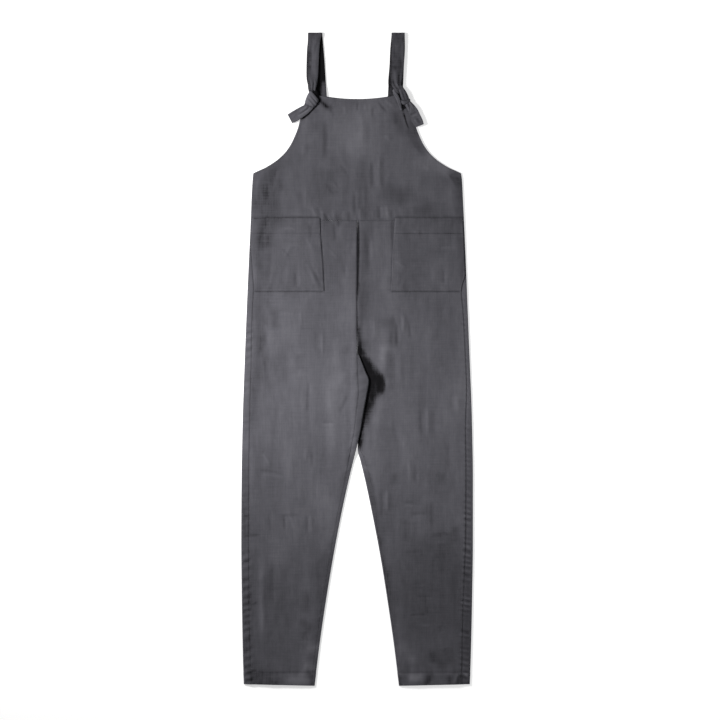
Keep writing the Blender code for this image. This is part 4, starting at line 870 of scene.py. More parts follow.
def slope_hem(grid):
    """The hems run down a little towards the inner legs."""
    share = np.clip((grid[..., 1] - HEM_TOP) / (LENGTH - HEM_TOP), 0, 1)
    grid[..., 1] -= HEM_SLOPE * (abs(grid[..., 0]) - HEM_LOW) * share


def side_fold(name, down, s):
    """Points at the side of the body or the outer side of a leg."""
    edge = SIDES[name] * (at(OUTER, name, down) - WALL / 2)
    return fold(name, edge, SIDES[name], LOFT - (wall(down) - WALL), down, s)


def inner_edge(name, down):
    """Outermost point and height of the fold at the inner side of a leg."""
    edge = at(INNER, name, down)
    return edge + SIDES[name] * WALL / 2, loft(name, edge, down) - (wall(down) - WALL)


def to_centre(name, down, x):
    """Distance along a side fold's section to a place x on its flat."""
    radius = (LOFT - (wall(down) - WALL)) / 2
    edge = SIDES[name] * (at(OUTER, name, down) - WALL / 2)
    return radius * (QUARTER - 1) + (edge - x) * SIDES[name]


PUCKERED = (1130.0, 1402.0, 2.2)  # closer levels, for the narrow puckers beside the side seams
LEG_LEVELS = levels(WAIST + SEAM / 2, LENGTH, 3.2, POCKET_BOTTOM, HEM_TOP)
away = (LEG_LEVELS < PUCKERED[0]) | (LEG_LEVELS > PUCKERED[1])
LEG_LEVELS = np.sort(np.concatenate([LEG_LEVELS[away], np.arange(*PUCKERED)]))
near_fork = abs(LEG_LEVELS - (CROTCH + FORK) / 2) < 3.4
LEG_LEVELS = np.sort(np.append(LEG_LEVELS[~near_fork], (CROTCH, FORK)))[:, None]
STRIP_STEPS, TURN_STEPS, FLAT_STEPS = 10, 8, 75  # across a leg's back panel
LEAST_STEP = 0.12
HIDDEN_TONE, TURNED_TONE = 0.5, 0.55  # of the back, and of its folds


def leg_back(name):
    """Panel from the side seam round the outer fold, over the back and round to the inseam."""
    side, down = SIDES[name], LEG_LEVELS
    arc = (LOFT - (wall(down) - WALL)) / 2 * QUARTER
    start = on_path(at(SIDE_SEAM, name, down)) - SEAM / 2
    k = np.arange(STRIP_STEPS + TURN_STEPS + 1)[None, :]
    strip_places = start + (arc - start) * k / STRIP_STEPS
    turn_places = arc - 2 * arc * (k - STRIP_STEPS) / TURN_STEPS
    s = np.where(k <= STRIP_STEPS, strip_places, turn_places)
    s = np.minimum(start - LEAST_STEP * k, s)
    outer = side_fold(name, down, s)
    outer_tone_and_shade = np.where(s > arc, front_tone_and_shade(name, outer[..., 0], outer[..., 1]), TURNED_TONE)

    edge, layers = inner_edge(name, down)
    arc = layers / 2 * QUARTER
    inseam = on_path(at(INSEAM, name, down), layers) - SEAM / 2
    turn = np.linspace(-1, 1, TURN_STEPS + 1)[None, :] * arc
    strip_places = arc + (inseam - arc) * np.linspace(0, 1, STRIP_STEPS + 1)[None, 1:]
    s_inner = np.concatenate([turn, strip_places], axis=1)
    inner = fold(name, edge, -side, layers, down, s_inner)
    inner_tone_and_shade = front_tone_and_shade(name, inner[..., 0], inner[..., 1])
    inner_tone_and_shade = np.where(s_inner > arc, inner_tone_and_shade, TURNED_TONE)
    forked = down > CROTCH
    end = np.where(forked, inner[:, :1, 0], side * SEAM / 2)
    inner[~forked[:, 0]] = np.nan

    # the back between them, which ends at the centre seam above the fork
    share = np.linspace(0, 1, FLAT_STEPS + 1)[None, 1:-1]
    x = outer[:, -1:, 0] + (end - outer[:, -1:, 0]) * share
    x = np.concatenate([x, np.where(forked, np.nan, end)], axis=1)
    level = np.broadcast_to(down, x.shape)
    flat = np.stack([x, level, back_height(name, x, level)], -1)
    joined = np.where(forked[..., None], inner[:, :1], flat[:, -1:])
    grid = np.concatenate([outer, flat[:, :-1], joined, inner[:, 1:]], axis=1)
    slope_hem(grid)
    tone_and_shade = np.concatenate([outer_tone_and_shade, np.full(x.shape, HIDDEN_TONE), inner_tone_and_shade[:, 1:]], axis=1)
    steps = np.nanmean(np.hypot(*np.diff(grid[..., ::2], axis=1).T), axis=1)
    across = np.concatenate([[0], np.cumsum(steps)])
    # the strip on the front is drawn into the waist seam and the side seam
    grid[..., 2] -= dip(down - WAIST) * (grid[..., 2] > LOFT - 0.1)
    grid[:, : s.shape[1], 2] -= dip(start - s)
    cloth = np.stack(np.broadcast_arrays(across[None, :] + BACK_CLOTH * side, grid[..., 1]), -1)
    piece = shell("leg_back_%s_cloth" % name, grid, wall(grid[..., 1]), tone_and_shade, cloth, -1)
    return sewn(piece, "leg_back_" + name)


def neckline(x, centre):
    """Level of a neckline at x."""
    return centre - NECK_RISE * (x / NECK_REACH) ** 2


# Where the panels lie in the cloth's own coordinates, so that no two show the same part of it
BACK_CLOTH, FRONT_CLOTH, BODICE_CLOTH, POCKET_CLOTH, POCKETS_APART = 60, 400, 900, 1300, 300
STRAP_CLOTH, KNOT_CLOTH, END_CLOTH = 2000, 2600, 3000
WAIST_DIP = 0.6  # depth of the waist seam
BODICE_LEVELS = levels(BIB_TOP, WAIST - SEAM / 2, 2.8, UNDERARM)[:, None]
NECK_FADE = 40.0  # below the necklines, the rows of the weave run straight again


def bodice_half(name, top, inset, facing):
    """One half of the bib or of the bodice's back, from the armhole or side to the centre: its
    points, how worn they are, and their distance from its edge."""
    side, down = SIDES[name], BODICE_LEVELS
    fade = np.clip(1 - (down - BIB_TOP) / NECK_FADE, 0, 1)

    def lowered(x):
        return down + (neckline(x, top) - BIB_TOP) * fade

    # a row's end in the armhole depends on how far it is lowered there, so it is found in turns
    corner = at(ARMHOLE, "half", down) - inset
    for _ in range(6):
        corner = at(ARMHOLE, "half", lowered(corner)) - inset
    arms = down <= UNDERARM
    total = np.where(arms, corner, to_centre(name, down, 0.0) - SEAM / 2)
    q = spaced(total, 3.0)
    x = side * (total - q)
    level = lowered(x)
    height = front_height if facing > 0 else back_height
    flat = np.stack([x, level, height(name, x, level)], -1)
    sides = side_fold(name, down, facing * (SEAM / 2 + q))
    grid = np.where(arms[..., None], flat, sides)
    if facing > 0:
        return grid, front_tone_and_shade(name, grid[..., 0], grid[..., 1]), q
    return grid, np.full(q.shape, HIDDEN_TONE), q


def bodice(name, top, inset, facing):
    """A whole panel, its two halves joined along the centre. top is its neckline, inset how far
    it stays inside the armholes, and facing is 1 for the bib and -1 for the back."""
    right, left = (bodice_half(side, top, inset, facing) for side in SIDES)
    if facing > 0:
        for grid, tone_and_shade, q in (right, left):
            grid[..., 2] -= dip(BODICE_LEVELS - WAIST, WAIST_DIP) + dip(q, 0.25)
    grid = np.concatenate([right[0], left[0][:, -2::-1]], axis=1)
    tone_and_shade = np.concatenate([right[1], left[1][:, -2::-1]], axis=1)
    cloth = np.stack([grid[..., 0] + BODICE_CLOTH, grid[..., 1]], -1)
    piece = shell(name + "_cloth", grid, WALL, tone_and_shade, cloth, facing)
    return sewn(piece, name)


bodice_back = bodice("bodice_back", BACK_TOP, 2.0, -1)
leg_backs = {name: leg_back(name) for name in SIDES}


# ---- Fronts of the legs ------------------------------------------------------------------------
# A panel for each leg, joined along the centre front from the waist seam to the fork, with a
# hem of 30 mm turned up and stitched once.

def leg_front(name):
    """Panel from the side seam to the centre seam and, below the fork, to the inseam."""
    side, down = SIDES[name], LEG_LEVELS
    start = on_path(at(SIDE_SEAM, name, down)) + SEAM / 2
    edge, layers = inner_edge(name, down)
    inseam = on_path(at(INSEAM, name, down), layers) + SEAM / 2
    inner_x = edge + side * (layers / 2 + inseam - layers / 2 * QUARTER)
    inside = np.where(down > CROTCH, inner_x, side * SEAM / 2)
    total = to_centre(name, down, inside) - start
    s = spaced(total, 3.0)
    grid = side_fold(name, down, start + s)
    tone_and_shade = front_tone_and_shade(name, grid[..., 0], grid[..., 1])
    centre_depth = 0.45 - 0.23 * ease((down - 450) / 180)
    inseam_depth = 0.6 - 0.45 * ease((down - 920) / 60)
    depth = np.where(down < CROTCH, centre_depth, inseam_depth)
    grid[..., 2] -= dip(s) + dip(total - s, depth) + dip(down - WAIST, WAIST_DIP)
    cloth = np.stack([grid[..., 0] + FRONT_CLOTH * side, grid[..., 1]], -1)
    slope_hem(grid)
    piece = shell("leg_front_%s_cloth" % name, grid, wall(down), tone_and_shade, cloth, 1)
    return sewn(piece, "leg_front_" + name)


leg_fronts = {name: leg_front(name) for name in SIDES}


# ---- Bib ---------------------------------------------------------------------------------------
# One panel from the neckline to the waist seam. Neckline and armholes are faced on the inside
# and stitched close to the edge.

bib = bodice("bib_front", BIB_TOP, 0.0, 1)


# ---- Patch pockets -----------------------------------------------------------------------------
# Square patches on the fronts, caught in the side seams. Their mouths have a deep hem and gape.

POCKET_GAP = 0.12  # between a pocket and the front
MOUTH_GAPE = 0.9
POCKET_HEM_SHADE = {"right": 0.08, "left": 0.24}


def pocket(name):
    """Patch that follows the front under it, a little slack, and stands open at its mouth."""
    side = SIDES[name]
    down = levels(POCKET_TOP, POCKET_BOTTOM, 2.9, POCKET_HEM)[:, None]
    outside = np.maximum(4.0, at(SIDE_SEAM, name, down) + 1.5)
    first = at(OUTER, name, down) - outside
    total = first - at(POCKET_SIDE, name, down)
    q = spaced(total, 2.9)
    x = side * (first - q)
    level = np.broadcast_to(down, x.shape)
    thick = np.where(level <= POCKET_HEM, HEM_WALL - 0.2, WALL)
    rim = np.minimum(np.minimum(q, total - q), POCKET_BOTTOM - level)
    mouth = np.exp(-((level - POCKET_TOP) / 14)) * np.sin(math.pi * q / total)
    slack = ease(rim / 14) * (0.35 + 0.2 * rumple(x, level, 16.0, 30.0, 71)) + MOUTH_GAPE * mouth
    z = front_height(name, x, level) + (WALL + thick) / 2 + POCKET_GAP + slack
    grid = np.stack([x, level, z], -1)
    # the front's tone, a little darker and paler near the edges, with painted shade along the hem
    tone_and_shade = front_tone_and_shade(name, x, level) + 0.12 * bell(rim, 3.0) - 0.06
    tone_and_shade = tone_and_shade - POCKET_HEM_SHADE[name] * bell(level - POCKET_HEM, 1.2)
    cloth = np.stack([x + POCKET_CLOTH + POCKETS_APART * side, level], -1)
    piece = shell("pocket_%s_cloth" % name, grid, thick, tone_and_shade, cloth, 1)
    return sewn(piece, "pocket_" + name)


pockets = {name: pocket(name) for name in SIDES}


# ---- Straps ------------------------------------------------------------------------------------
# Each is a long strip of linen, sewn into a tube and pressed flat. Its back end is sewn inside
# the bodice; it lies folded at the shoulder and its front run is drawn together into the knot.


def along(rows, step):
    """A strip's rows, made dense: a smooth curve through them all, with points a step apart."""
    rows = np.array(rows, float)
    full = np.concatenate([2 * rows[:1] - rows[1:2], rows, 2 * rows[-1:] - rows[-2:-1]])
    dense = []
    for a, b, c, d in zip(full[:-3], full[1:-2], full[2:-1], full[3:]):
        length = np.linalg.norm((c[:3] + c[3:6] - b[:3] - b[3:6]) / 2)
        t = np.linspace(0, 1, max(int(length / step), 1) + 1)[:-1, None]
        dense.append(b + t / 2 * (c - a + t * (2 * a - 5 * b + 4 * c - d + t * (3 * (b - c) + d - a))))
    return np.concatenate(dense + [rows[-1:]])


# painted light for each mm above a strip's flat, and painted shade for each mm below
RIDGE_TONE, TROUGH_TONE = 0.3, 0.18  # for each mm above and below a strip's flat


def strip(name, rows, thick, crown, strokes, tone, edge_shade, shift, step, steps):
    """A strip of cloth between two edges. A row has both edges' points as x, down, z, and may end
    in its own crown. strokes are creases in the strip's own sizes, across from its first edge
    and along from its start. tone is its tone, which painted shade lowers at its edges by the
    next argument. shift is its place in the cloth, and step and steps its points along and across."""
    rows = along([(*row[:6], *(row[6:] or (crown,))) for row in rows], step)
    rim = (0.0, 0.022, 0.06)
    share = np.array((*rim, *np.linspace(0, 1, steps + 1)[2:-2], *(1 - r for r in reversed(rim))))
    first, second = rows[:, None, :3], rows[:, None, 3:6]
    grid = first + (second - first) * share[None, :, None]
    middle = (first + second)[:, 0] / 2
    run = np.concatenate([[0], np.cumsum(np.linalg.norm(np.diff(middle, axis=0), axis=1))])
    width = np.linalg.norm(second - first, axis=2)
    u, s = width * share[None, :], np.broadcast_to(run[:, None], (len(rows), len(share)))

    relief = 0.16 * rumple(u, s + shift, 5.0, 16.0, 81) + 0.1 * rumple(u, s + shift, 3.0, 5.0, 82)
    if strokes:
        relief = relief + creases(table("x1 down1 x2 down2 bend half rise", *strokes), u, s)
    relief = relief * ease(np.minimum(share, 1 - share)[None, :] / 0.12)
    out = np.cross(second[:, 0] - first[:, 0], np.gradient(middle, axis=0))
    out *= np.sign(out[len(out) // 2 :, 2].sum()) / np.linalg.norm(out, axis=1, keepdims=True)
    bulge = rows[:, 6:7] * (1 - (2 * share[None, :] - 1) ** 2)
    grid = grid + out[:, None, :] * (bulge + relief)[..., None]
    # painted light on the strip's ridges, painted shade in its troughs and along its edges
    tone_and_shade = tone + RIDGE_TONE * np.maximum(relief, 0) + TROUGH_TONE * np.minimum(relief, 0)
    tone_and_shade = tone_and_shade - edge_shade * (bell(u, 1.3) + bell(width - u, 1.3))
    piece = shell(name, grid, thick, tone_and_shade, np.stack([u + shift, s], -1), 1)
    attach(piece, "root")
    return piece


STRAP_THICK = 1.9
STRAPS = {
    # down, middle, half, z, crown: the back run up to the shoulder, then the front run down
    "right": (
        ((158.0, -82.0, 16.5, 2.6, 0.0), (131.0, -83.8, 16.5, 2.6, 0.0), (117.0, -84.6, 16.5, 1.2, 0.0),
         (104.0, -85.6, 16.5, 1.1, 0.0), (70.0, -87.4, 16.3, 1.1, 0.0), (38.0, -89.6, 16.0, 1.1, 0.0),
         (6.0, -91.9, 15.6, 1.1, 0.0)),
        ((6.0, -92.9, 15.2, 4.9, 0.1), (20.0, -94.8, 13.6, 4.7, 0.5), (39.6, -96.8, 13.4, 4.5, 0.6),
         (64.5, -97.9, 13.2, 4.6, 0.6), (91.0, -98.6, 12.8, 5.2, 0.8), (105.0, -98.9, 11.6, 6.4, 1.4),
         (114.0, -98.4, 9.9, 7.4, 2.0), (124.0, -99.0, 8.2, 8.2, 2.2), (134.0, -98.2, 6.6, 7.4, 1.4)),
    ),
    "left": (
        ((158.0, 83.0, 16.2, 2.6, 0.0), (131.0, 84.2, 16.2, 2.6, 0.0), (117.0, 84.8, 16.2, 1.2, 0.0),
         (104.0, 85.1, 16.6, 1.1, 0.0), (70.0, 87.2, 15.9, 1.1, 0.0), (38.0, 88.9, 16.2, 1.1, 0.0),
         (6.0, 90.2, 14.6, 1.1, 0.0)),
        ((6.0, 90.2, 14.4, 4.9, 0.1), (20.0, 90.2, 14.5, 4.7, 0.4), (38.0, 89.9, 14.4, 4.5, 0.5),
         (71.0, 88.8, 14.0, 4.6, 0.6), (94.0, 87.3, 13.2, 5.2, 0.9), (108.0, 86.2, 11.6, 6.4, 1.5),
         (117.0, 86.4, 10.2, 7.4, 2.0), (126.0, 89.5, 7.6, 8.2, 2.0), (134.0, 92.0, 6.0, 7.0, 1.2)),
    ),
}
# Creases of the straps: across from the viewer's left edge, along from the back end
STRAP_CREASES = {
    "right": (
        (13, 170, 13, 262, 1, 4.0, 0.7), (19, 196, 18, 262, 0, 4.0, 0.5),
        (5, 168, 5, 205, 0, 3.0, 0.45), (22, 166, 20, 196, 0, 3.0, -0.35), (10, 258, 8, 288, 0, 2.6, 0.6),
        (15, 268, 8, 298, 0, 2.0, -1.7), (19, 258, 12, 298, 0, 2.2, 0.9), (5, 268, 4, 296, 0, 1.8, -0.6),
        (10, 176, 22, 182, 0, 3.0, 0.35), (6, 222, 12, 228, 0, 2.6, 0.4),
    ),
    "left": (
        (8, 236, 12, 288, 1, 4.2, 0.7), (4, 256, 8, 288, 0, 2.4, -0.5), (19, 244, 15, 290, 0, 3.4, -0.8),
        (22, 200, 20, 262, 0, 4.0, -0.4), (12, 176, 11, 236, 0, 5.0, 0.3), (4, 176, 4, 232, 0, 2.6, 0.25),
        (25, 176, 24, 230, 0, 2.6, 0.2), (8, 190, 20, 186, 0, 3.0, 0.25), (8, 212, 20, 216, 0, 3.0, -0.2),
        (13, 268, 14, 302, 0, 2.2, 0.9),
    ),
}
SHOULDER_CENTRE = 2.95  # down, of the axis of the fold at the shoulder
BACK_RUN = 156.0  # length of the back run, up to the fold
BACK_SHADE = {"right": 0.42, "left": 0.1}


def values_of(data, name, width):
    """A mesh's points or an attribute of it, as a row of this width for each point."""
    found = np.zeros(len(data) * width, np.float32)
    data.foreach_get(name, found)
    return found.reshape(-1, width)


def strap(name):
    """The whole strap as one strip, round its shoulder fold."""

    def row(down, middle, half, z, crown):
        return middle - half, down, z, middle + half, down, z, crown

    back, front = STRAPS[name]
    rows = [row(*line) for line in back]
    low, high = back[-1][3], front[0][3]
    radius = (high - low) / 2
    for turn in np.radians((-60, -30, 0, 30, 60)):
        share = (1 + math.sin(turn)) / 2
        middle, half = (back[-1][k] * (1 - share) + front[0][k] * share for k in (1, 2))
        down, z = SHOULDER_CENTRE - radius * math.cos(turn), (low + high) / 2 + radius * math.sin(turn)
        rows.append(row(down, middle, half, z, 0.0))
    rows += [row(*line) for line in front]
    # the strap's edges get a little painted shade
    piece = strip("strap_%s_cloth" % name, rows, STRAP_THICK, 0.0, STRAP_CREASES[name],
                  0.2, 0.1, STRAP_CLOTH, 2.2, 24)

    # The back run lies in the shade of the front run, so it gets painted shade, and the right one
    # least where the light reaches it beside the knot
    mesh = piece.data
    tone_and_shade = values_of(mesh.attributes["tone_and_painted_shade"].data, "value", 1)[:, 0]
    threads = values_of(mesh.attributes["cloth"].data, "vector", 3)
    place = values_of(mesh.vertices, "co", 3) / MM
    x, down = place[:, 0], LENGTH / 2 - place[:, 1]
    under = ease((BACK_RUN - threads[:, 1] / MM) / 6)
    if name == "right":
        lit = ease((down - 92) / 24) * ease((x + 86) / 11)
        tone_and_shade = tone_and_shade - BACK_SHADE[name] * under * (1 - lit)
        # its front run is paler along the middle and darker along the outer edge
        middle = 0.22 * bell(x + 92, 5.5) * ease(down / 20) * ease((116 - down) / 30)
        tone_and_shade = tone_and_shade + (middle - 0.05 * ease((-103 - x) / 4)) * (1 - under)
    else:
        tone_and_shade = tone_and_shade - BACK_SHADE[name] * under
    mesh.attributes["tone_and_painted_shade"].data.foreach_set("value", tone_and_shade.astype(np.float32))
    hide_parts("strap_" + name)
    return piece


straps = {name: strap(name) for name in SIDES}


# ---- Knots -------------------------------------------------------------------------------------
# Each strap passes through a slit at the bib's corner and is tied in a simple knot on it: turns
# of the strap, pleated where they are drawn tight, round a core that hardly shows.

KNOT_THICK = 1.7
# painted shade along the edges of the knots' strands
KNOT_EDGE_SHADE = 0.36
# strand: thickness, crown, tone, then rows of both edges and creases in the strand's own sizes.
# The cores' low tone is painted shade deep inside the knots.
KNOT_STRANDS = {
    "right": {
        "core": (1.8, 3.2, -0.1, (
            (-99, 120, 6.0, -87, 130, 5.6), (-101, 127, 7.2, -84, 141, 5.6),
            (-105, 139, 7.2, -86, 151, 5.8), (-111, 148, 7.2, -92, 163, 5.8),
            (-112, 156, 5.8, -99, 166, 5.4)), ()),
        "corner": (1.5, 0.8, 0.54, (
            (-95.0, 113, 8.4, -89.6, 113, 7.4), (-97.2, 120, 9.4, -91.4, 119, 7.8),
            (-97.0, 125.6, 9.4, -91.6, 124.6, 7.8), (-93.2, 129.8, 8.6, -89.8, 129.0, 7.0),
            (-89.2, 134.6, 6.8, -87.2, 134.2, 6.0)), ()),
        "band": (KNOT_THICK, 1.5, 0.54, (
            (-97.5, 131.5, 4.6, -109.0, 151.5, 4.4), (-101.6, 128.6, 6.6, -113.0, 152.6, 5.6),
            (-102.3, 128.4, 9.0, -114.4, 155.6, 7.8), (-98.4, 132.0, 11.4, -110.8, 159.0, 10.0),
            (-93.0, 138.4, 12.4, -104.4, 162.4, 11.0), (-87.8, 144.8, 11.8, -98.4, 164.6, 10.4),
            (-84.8, 148.6, 9.2, -95.4, 165.0, 8.2), (-86.0, 147.4, 5.4, -96.8, 162.4, 5.2)),
            ((4.6, 8, 4.2, 38, 0, 2.0, 0.6), (8.6, 10, 7.8, 40, 0, 1.6, -0.9),
             (12.4, 6, 11.2, 38, 0, 2.0, 0.7), (17.0, 6, 15.6, 38, 0.4, 2.0, -0.8),
             (21.4, 8, 19.0, 36, 0, 2.0, 0.5))),
    },
    "left": {
        "core": (1.8, 2.6, -0.1, (
            (84, 127, 5.6, 98, 119.5, 5.6), (87, 138, 5.8, 104.6, 131.4, 6.0),
            (91, 150, 5.8, 111, 143, 6.2), (96, 162, 5.6, 112, 153, 6.0),
            (103, 168, 5.2, 116, 158, 5.4)), ()),
        "lobe": (KNOT_THICK, 2.2, 0.36, (
            (88.4, 120.0, 6.4, 97.4, 114.6, 5.8), (90.4, 126.6, 8.8, 101.4, 121.8, 6.6),
            (93.0, 134.4, 11.0, 107.2, 130.4, 7.4), (95.2, 142.6, 11.8, 111.8, 139.6, 7.6),
            (98.4, 150.0, 10.4, 114.4, 148.6, 7.0), (101.4, 156.4, 7.4, 114.8, 155.6, 5.4)),
            ((3.0, 4, 3.6, 36, 0, 2.6, 0.5), (7.0, 12, 8.4, 40, 0.6, 2.2, -0.6),
             (10.6, 6, 12.0, 38, 0, 2.4, 0.4))),
        "tail_root": (KNOT_THICK, 1.4, 0.5, (
            (99.6, 150.6, 6.6, 113.2, 146.4, 6.4), (102.0, 155.4, 8.8, 115.4, 149.6, 7.6),
            (104.6, 160.2, 9.2, 118.6, 154.6, 7.6), (108.0, 167.4, 8.0, 124.8, 160.2, 6.6),
            (111.0, 174.4, 6.8, 130.2, 169.0, 5.4)),
            ((4.0, 4, 4.6, 30, 0, 2.4, 0.9), (9.0, 6, 10.0, 30, 0, 2.2, -0.9),
             (13.0, 4, 15.0, 30, 0, 2.4, 0.7))),
        "cross_band": (KNOT_THICK, 1.7, 0.52, (
            (94.8, 146.6, 6.4, 93.6, 152.0, 5.8), (98.4, 149.4, 11.4, 98.6, 156.6, 9.4),
            (102.6, 151.2, 12.6, 103.4, 158.8, 10.6), (107.6, 150.2, 12.0, 109.0, 156.6, 10.0),
            (112.2, 147.6, 9.6, 113.8, 153.2, 8.0), (114.6, 145.8, 6.2, 115.6, 151.4, 5.4)),
            ((3.2, 4, 3.4, 20, 0, 1.3, -0.7),)),
        "twist": (KNOT_THICK, 1.7, 0.56, (
            (78.0, 127.6, 3.9, 83.6, 123.8, 4.6), (79.6, 134.6, 7.0, 86.0, 131.0, 8.2),
            (83.4, 142.6, 9.8, 90.6, 139.2, 11.4), (86.8, 150.4, 10.8, 94.4, 148.4, 12.4),
            (89.8, 157.6, 9.8, 96.8, 156.6, 10.8), (92.6, 165.0, 7.6, 98.0, 163.6, 8.0),
            (94.6, 170.4, 5.6, 100.4, 169.4, 5.8)),
            ((2.0, 6, 5.4, 26, 0, 1.4, -0.9), (5.0, 22, 2.6, 44, 0, 1.4, -0.8))),
    },
}

knots = {}
for name, strands in KNOT_STRANDS.items():
    for strand, (thick, crown, tone, rows, strokes) in strands.items():
        knots[name, strand] = strip("knot_%s_%s" % (name, strand), rows, thick, crown, strokes,
                                    tone, KNOT_EDGE_SHADE, KNOT_CLOTH, 1.3, 18)
    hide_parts("knot_" + name)


# ---- Free ends of the straps -------------------------------------------------------------------
# The straps' cut ends are turned in. They come out from under the knots and lie on the bib.

TIE_THICK = 2.0
# tone, then rows of both edges and creases in the end's own sizes
TIE_ENDS = {
    "right": (0.48, (
        (-113.6, 153.6, 6.2, -95.4, 164.6, 6.2), (-117.4, 160.4, 6.9, -99.6, 169.6, 6.9),
        (-121.8, 162.2, 6.8, -108.0, 178.0, 6.6), (-128.4, 165.8, 6.0, -118.4, 185.6, 5.8),
        (-139.2, 171.8, 4.9, -130.2, 193.8, 4.6), (-153.0, 180.4, 3.8, -142.6, 199.4, 3.6)),
        ((6, 2, 8, 30, 1.0, 2.6, 0.9), (11, 0, 13, 34, 0.6, 2.2, -1.1), (16, 4, 15, 40, 0, 2.6, 0.7),
         (4, 22, 5, 50, 0, 2.4, -0.5), (3, 54, 17, 50, 0, 3.0, -0.5), (9, 36, 12, 60, 0, 4.0, 0.4))),
    "left": (0.5, (
        (104.6, 156.4, 6.4, 115.6, 150.0, 6.2), (108.4, 165.4, 7.0, 124.6, 158.8, 6.6),
        (111.8, 175.4, 6.6, 132.6, 168.8, 6.2), (115.4, 185.0, 6.2, 138.0, 180.0, 6.0),
        (120.2, 197.4, 6.0, 143.8, 192.0, 5.8), (129.2, 208.6, 5.8, 146.4, 201.8, 5.8)),
        ((6, 4, 8, 26, 0, 3.4, 1.1), (13, 2, 15, 26, 0, 3.0, -0.7), (1, 31, 22, 27, 0, 2.4, -1.3),
         (3, 36, 20, 33, 0, 2.6, 0.8), (16, 38, 17, 56, 0, 3.6, -0.9), (9, 40, 10, 56, 0, 3.0, 0.6))),
}

for name, (tone, rows, strokes) in TIE_ENDS.items():
    # their edges get painted shade
    piece = strip("tie_end_%s_cloth" % name, rows, TIE_THICK, 0.5, strokes,
                  tone, 0.22, END_CLOTH, 1.8, 22)
    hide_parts("tie_end_" + name)


# ---- Stitching ---------------------------------------------------------------------------------
# Single lines of lockstitch in a polyester thread of the cloth's own colour, along the seams,
# hems and pockets of the front.

STITCH = 3.0  # mm from stitch to stitch
THREAD_WIDTH = 0.55
PLIES = 900.0  # uneven places of the plies in a metre of thread
thread = bpy.data.materials.new("charcoal_polyester_thread")
thread.use_nodes = True
tree = thread.node_tree
shader = tree.nodes["Principled BSDF"]
place = node(tree, "ShaderNodeTexCoord").outputs["Object"]
plies = node(tree, "ShaderNodeTexNoise", inputs={"Vector": place, "Scale": PLIES, "Detail": 1.0})
colour = node(tree, "ShaderNodeMix", {"data_type": "RGBA"}, {
    "Factor": plies.outputs["Fac"], 6: linear("#47464c"), 7: linear("#6a696f")})
tree.links.new(colour.outputs[2], shader.inputs["Base Color"])
shader.inputs["Roughness"].default_value = 0.6
shader.inputs["Specular IOR Level"].default_value = 0.4

# A tree that sets stitches along a line: rounded threads, laid end to end
stitching = bpy.data.node_groups.new("lockstitch", "GeometryNodeTree")
stitching.interface.new_socket("Line", in_out="INPUT", socket_type="NodeSocketGeometry")
pitch_socket = stitching.interface.new_socket("Pitch", in_out="INPUT", socket_type="NodeSocketFloat")
width_socket = stitching.interface.new_socket("Width", in_out="INPUT", socket_type="NodeSocketFloat")
stitching.interface.new_socket("Stitches", in_out="OUTPUT", socket_type="NodeSocketGeometry")
given = node(stitching, "NodeGroupInput")
curve = node(stitching, "GeometryNodeMeshToCurve", inputs={"Mesh": given.outputs["Line"]})
points = node(stitching, "GeometryNodeCurveToPoints", {"mode": "LENGTH"}, {
    "Curve": curve.outputs["Curve"], "Length": given.outputs["Pitch"]})
bead = node(stitching, "GeometryNodeMeshUVSphere", inputs={"Segments": 5, "Rings": 4, "Radius": 0.5})
uneven = node(stitching, "FunctionNodeRandomValue", {"data_type": "FLOAT"}, {2: 0.72, 3: 0.9, "Seed": 5})
length = node(stitching, "ShaderNodeMath", {"operation": "MULTIPLY"}, {
    0: given.outputs["Pitch"], 1: uneven.outputs[1]})
scale = node(stitching, "ShaderNodeCombineXYZ", inputs={
    "X": given.outputs["Width"], "Y": given.outputs["Width"], "Z": length.outputs[0]})
laid = node(stitching, "GeometryNodeInstanceOnPoints", inputs={
    "Points": points.outputs["Points"], "Instance": bead.outputs["Mesh"],
    "Rotation": points.outputs["Rotation"], "Scale": scale.outputs["Vector"]})
real = node(stitching, "GeometryNodeRealizeInstances", inputs={"Geometry": laid.outputs["Instances"]})
threaded = node(stitching, "GeometryNodeSetMaterial", inputs={
    "Geometry": real.outputs["Geometry"], "Material": thread})
node(stitching, "NodeGroupOutput", inputs={"Stitches": threaded.outputs["Geometry"]})


def on_front(x, down, lift):
    """Points this high above the outer face of the front, as x, down and z."""
    x, down = np.broadcast_arrays(np.asarray(x, float), np.asarray(down, float))
    z = np.where(x < 0, front_height("right", x, down), front_height("left", x, down))
    return np.stack([x, down, z + WALL / 2 + lift], -1)


LINE_STEP = 2.5  # between the points of a stitched line


def across(side, start, end, down, lift):
    """A line of stitches across the front, between two distances from the centre."""
    steps = max(int((end - start) / LINE_STEP), 2)
    return on_front(side * np.linspace(start, end, steps + 1), down, lift)


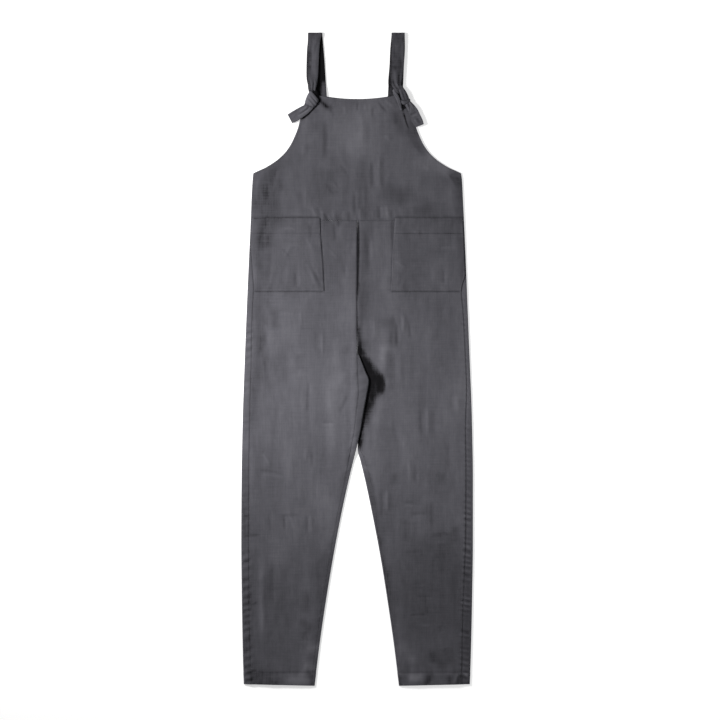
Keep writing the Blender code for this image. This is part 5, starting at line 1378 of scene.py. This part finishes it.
LIFT, POCKET_LIFT = 0.02, WALL + 0.42  # of a thread over the front, and over a pocket on it
HEM_STITCH = LENGTH - 27.6  # level of the line that holds a hem
lines = []
for name, side in SIDES.items():
    # the hem, from beside the inseam to beside the side seam
    inner = abs(at(INNER, name, HEM_STITCH)) + 9
    outer = at(OUTER, name, HEM_STITCH) - at(SIDE_SEAM, name, HEM_STITCH) - 3
    lines.append(across(side, inner, outer, HEM_STITCH, LIFT))
    # the pocket: down its inner side, along its bottom and across its mouth
    down = np.arange(POCKET_TOP + 3, POCKET_BOTTOM - 1.6, LINE_STEP)
    lines.append(on_front(side * (at(POCKET_SIDE, name, down) + 2.0), down, POCKET_LIFT))
    foot = at(POCKET_SIDE, name, POCKET_BOTTOM) + 2.0
    far = at(OUTER, name, POCKET_BOTTOM) - max(4.0, at(SIDE_SEAM, name, POCKET_BOTTOM) + 3)
    lines.append(across(side, foot, far, POCKET_BOTTOM - 2.0, POCKET_LIFT))
    mouth = at(POCKET_SIDE, name, POCKET_HEM) + 3.0
    lines.append(across(side, mouth, 228.0, POCKET_HEM, POCKET_LIFT))
    # the armhole, 4.5 mm inside its edge
    down = np.arange(179.0, UNDERARM, 2.0)
    lines.append(on_front(side * (at(ARMHOLE, "half", down) - 4.5), down, LIFT))
    # beside the side seam and beside the inseam, on the front panel
    down = np.arange(POCKET_BOTTOM + 5, HEM_STITCH, 3.0)
    inset = at(SIDE_SEAM, name, down) + 2.6
    lines.append(on_front(side * (at(OUTER, name, down) - inset), down, LIFT))
    down = np.arange(FORK_END + 12, HEM_STITCH, 3.0)
    inset = at(INSEAM, name, down) + 2.4
    lines.append(on_front(at(INNER, name, down) + side * inset, down, LIFT))
# the neckline, the waist seam and the centre seam
x = np.linspace(-72, 72, 70)
lines.append(on_front(x, neckline(x, BIB_TOP) + 6.0, LIFT))
lines.append(across(1, -80, 80, WAIST + 2.4, LIFT))
lines.append(on_front(2.4, np.linspace(WAIST + 4, 688, 109), LIFT))

run = np.concatenate(lines) * (1, -1, 1) + (0, LENGTH / 2, 0)
ends = np.cumsum([len(line) for line in lines])
pairs = [(k, k + 1) for k in range(len(run) - 1) if k + 1 not in ends]
seam_lines = bpy.data.meshes.new("seam_lines")
seam_lines.from_pydata((run * MM).tolist(), pairs, [])
carrier = bpy.data.objects.new("seam_lines", seam_lines)
bpy.context.scene.collection.objects.link(carrier)
machine = carrier.modifiers.new("lockstitch", "NODES")
machine.node_group = stitching
machine[pitch_socket.identifier] = STITCH * MM
machine[width_socket.identifier] = THREAD_WIDTH * MM
sewing = bpy.data.meshes.new_from_object(
    carrier.evaluated_get(bpy.context.evaluated_depsgraph_get()), preserve_all_data_layers=True,
    depsgraph=bpy.context.evaluated_depsgraph_get(),
)
carrier.modifiers.clear()
bpy.data.objects.remove(carrier)
sewing.name = "stitching"
sewing.shade_smooth()
stitches = bpy.data.objects.new("stitching", sewing)
bpy.context.scene.collection.objects.link(stitches)
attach(stitches, "root")


# ---- Cloth sheets ------------------------------------------------------------------------------
# The flat size and area of what shows of each panel. The backs lie on the floor, the rest on them.

for name in SIDES:
    strands = [piece for (side, strand), piece in knots.items() if side == name]
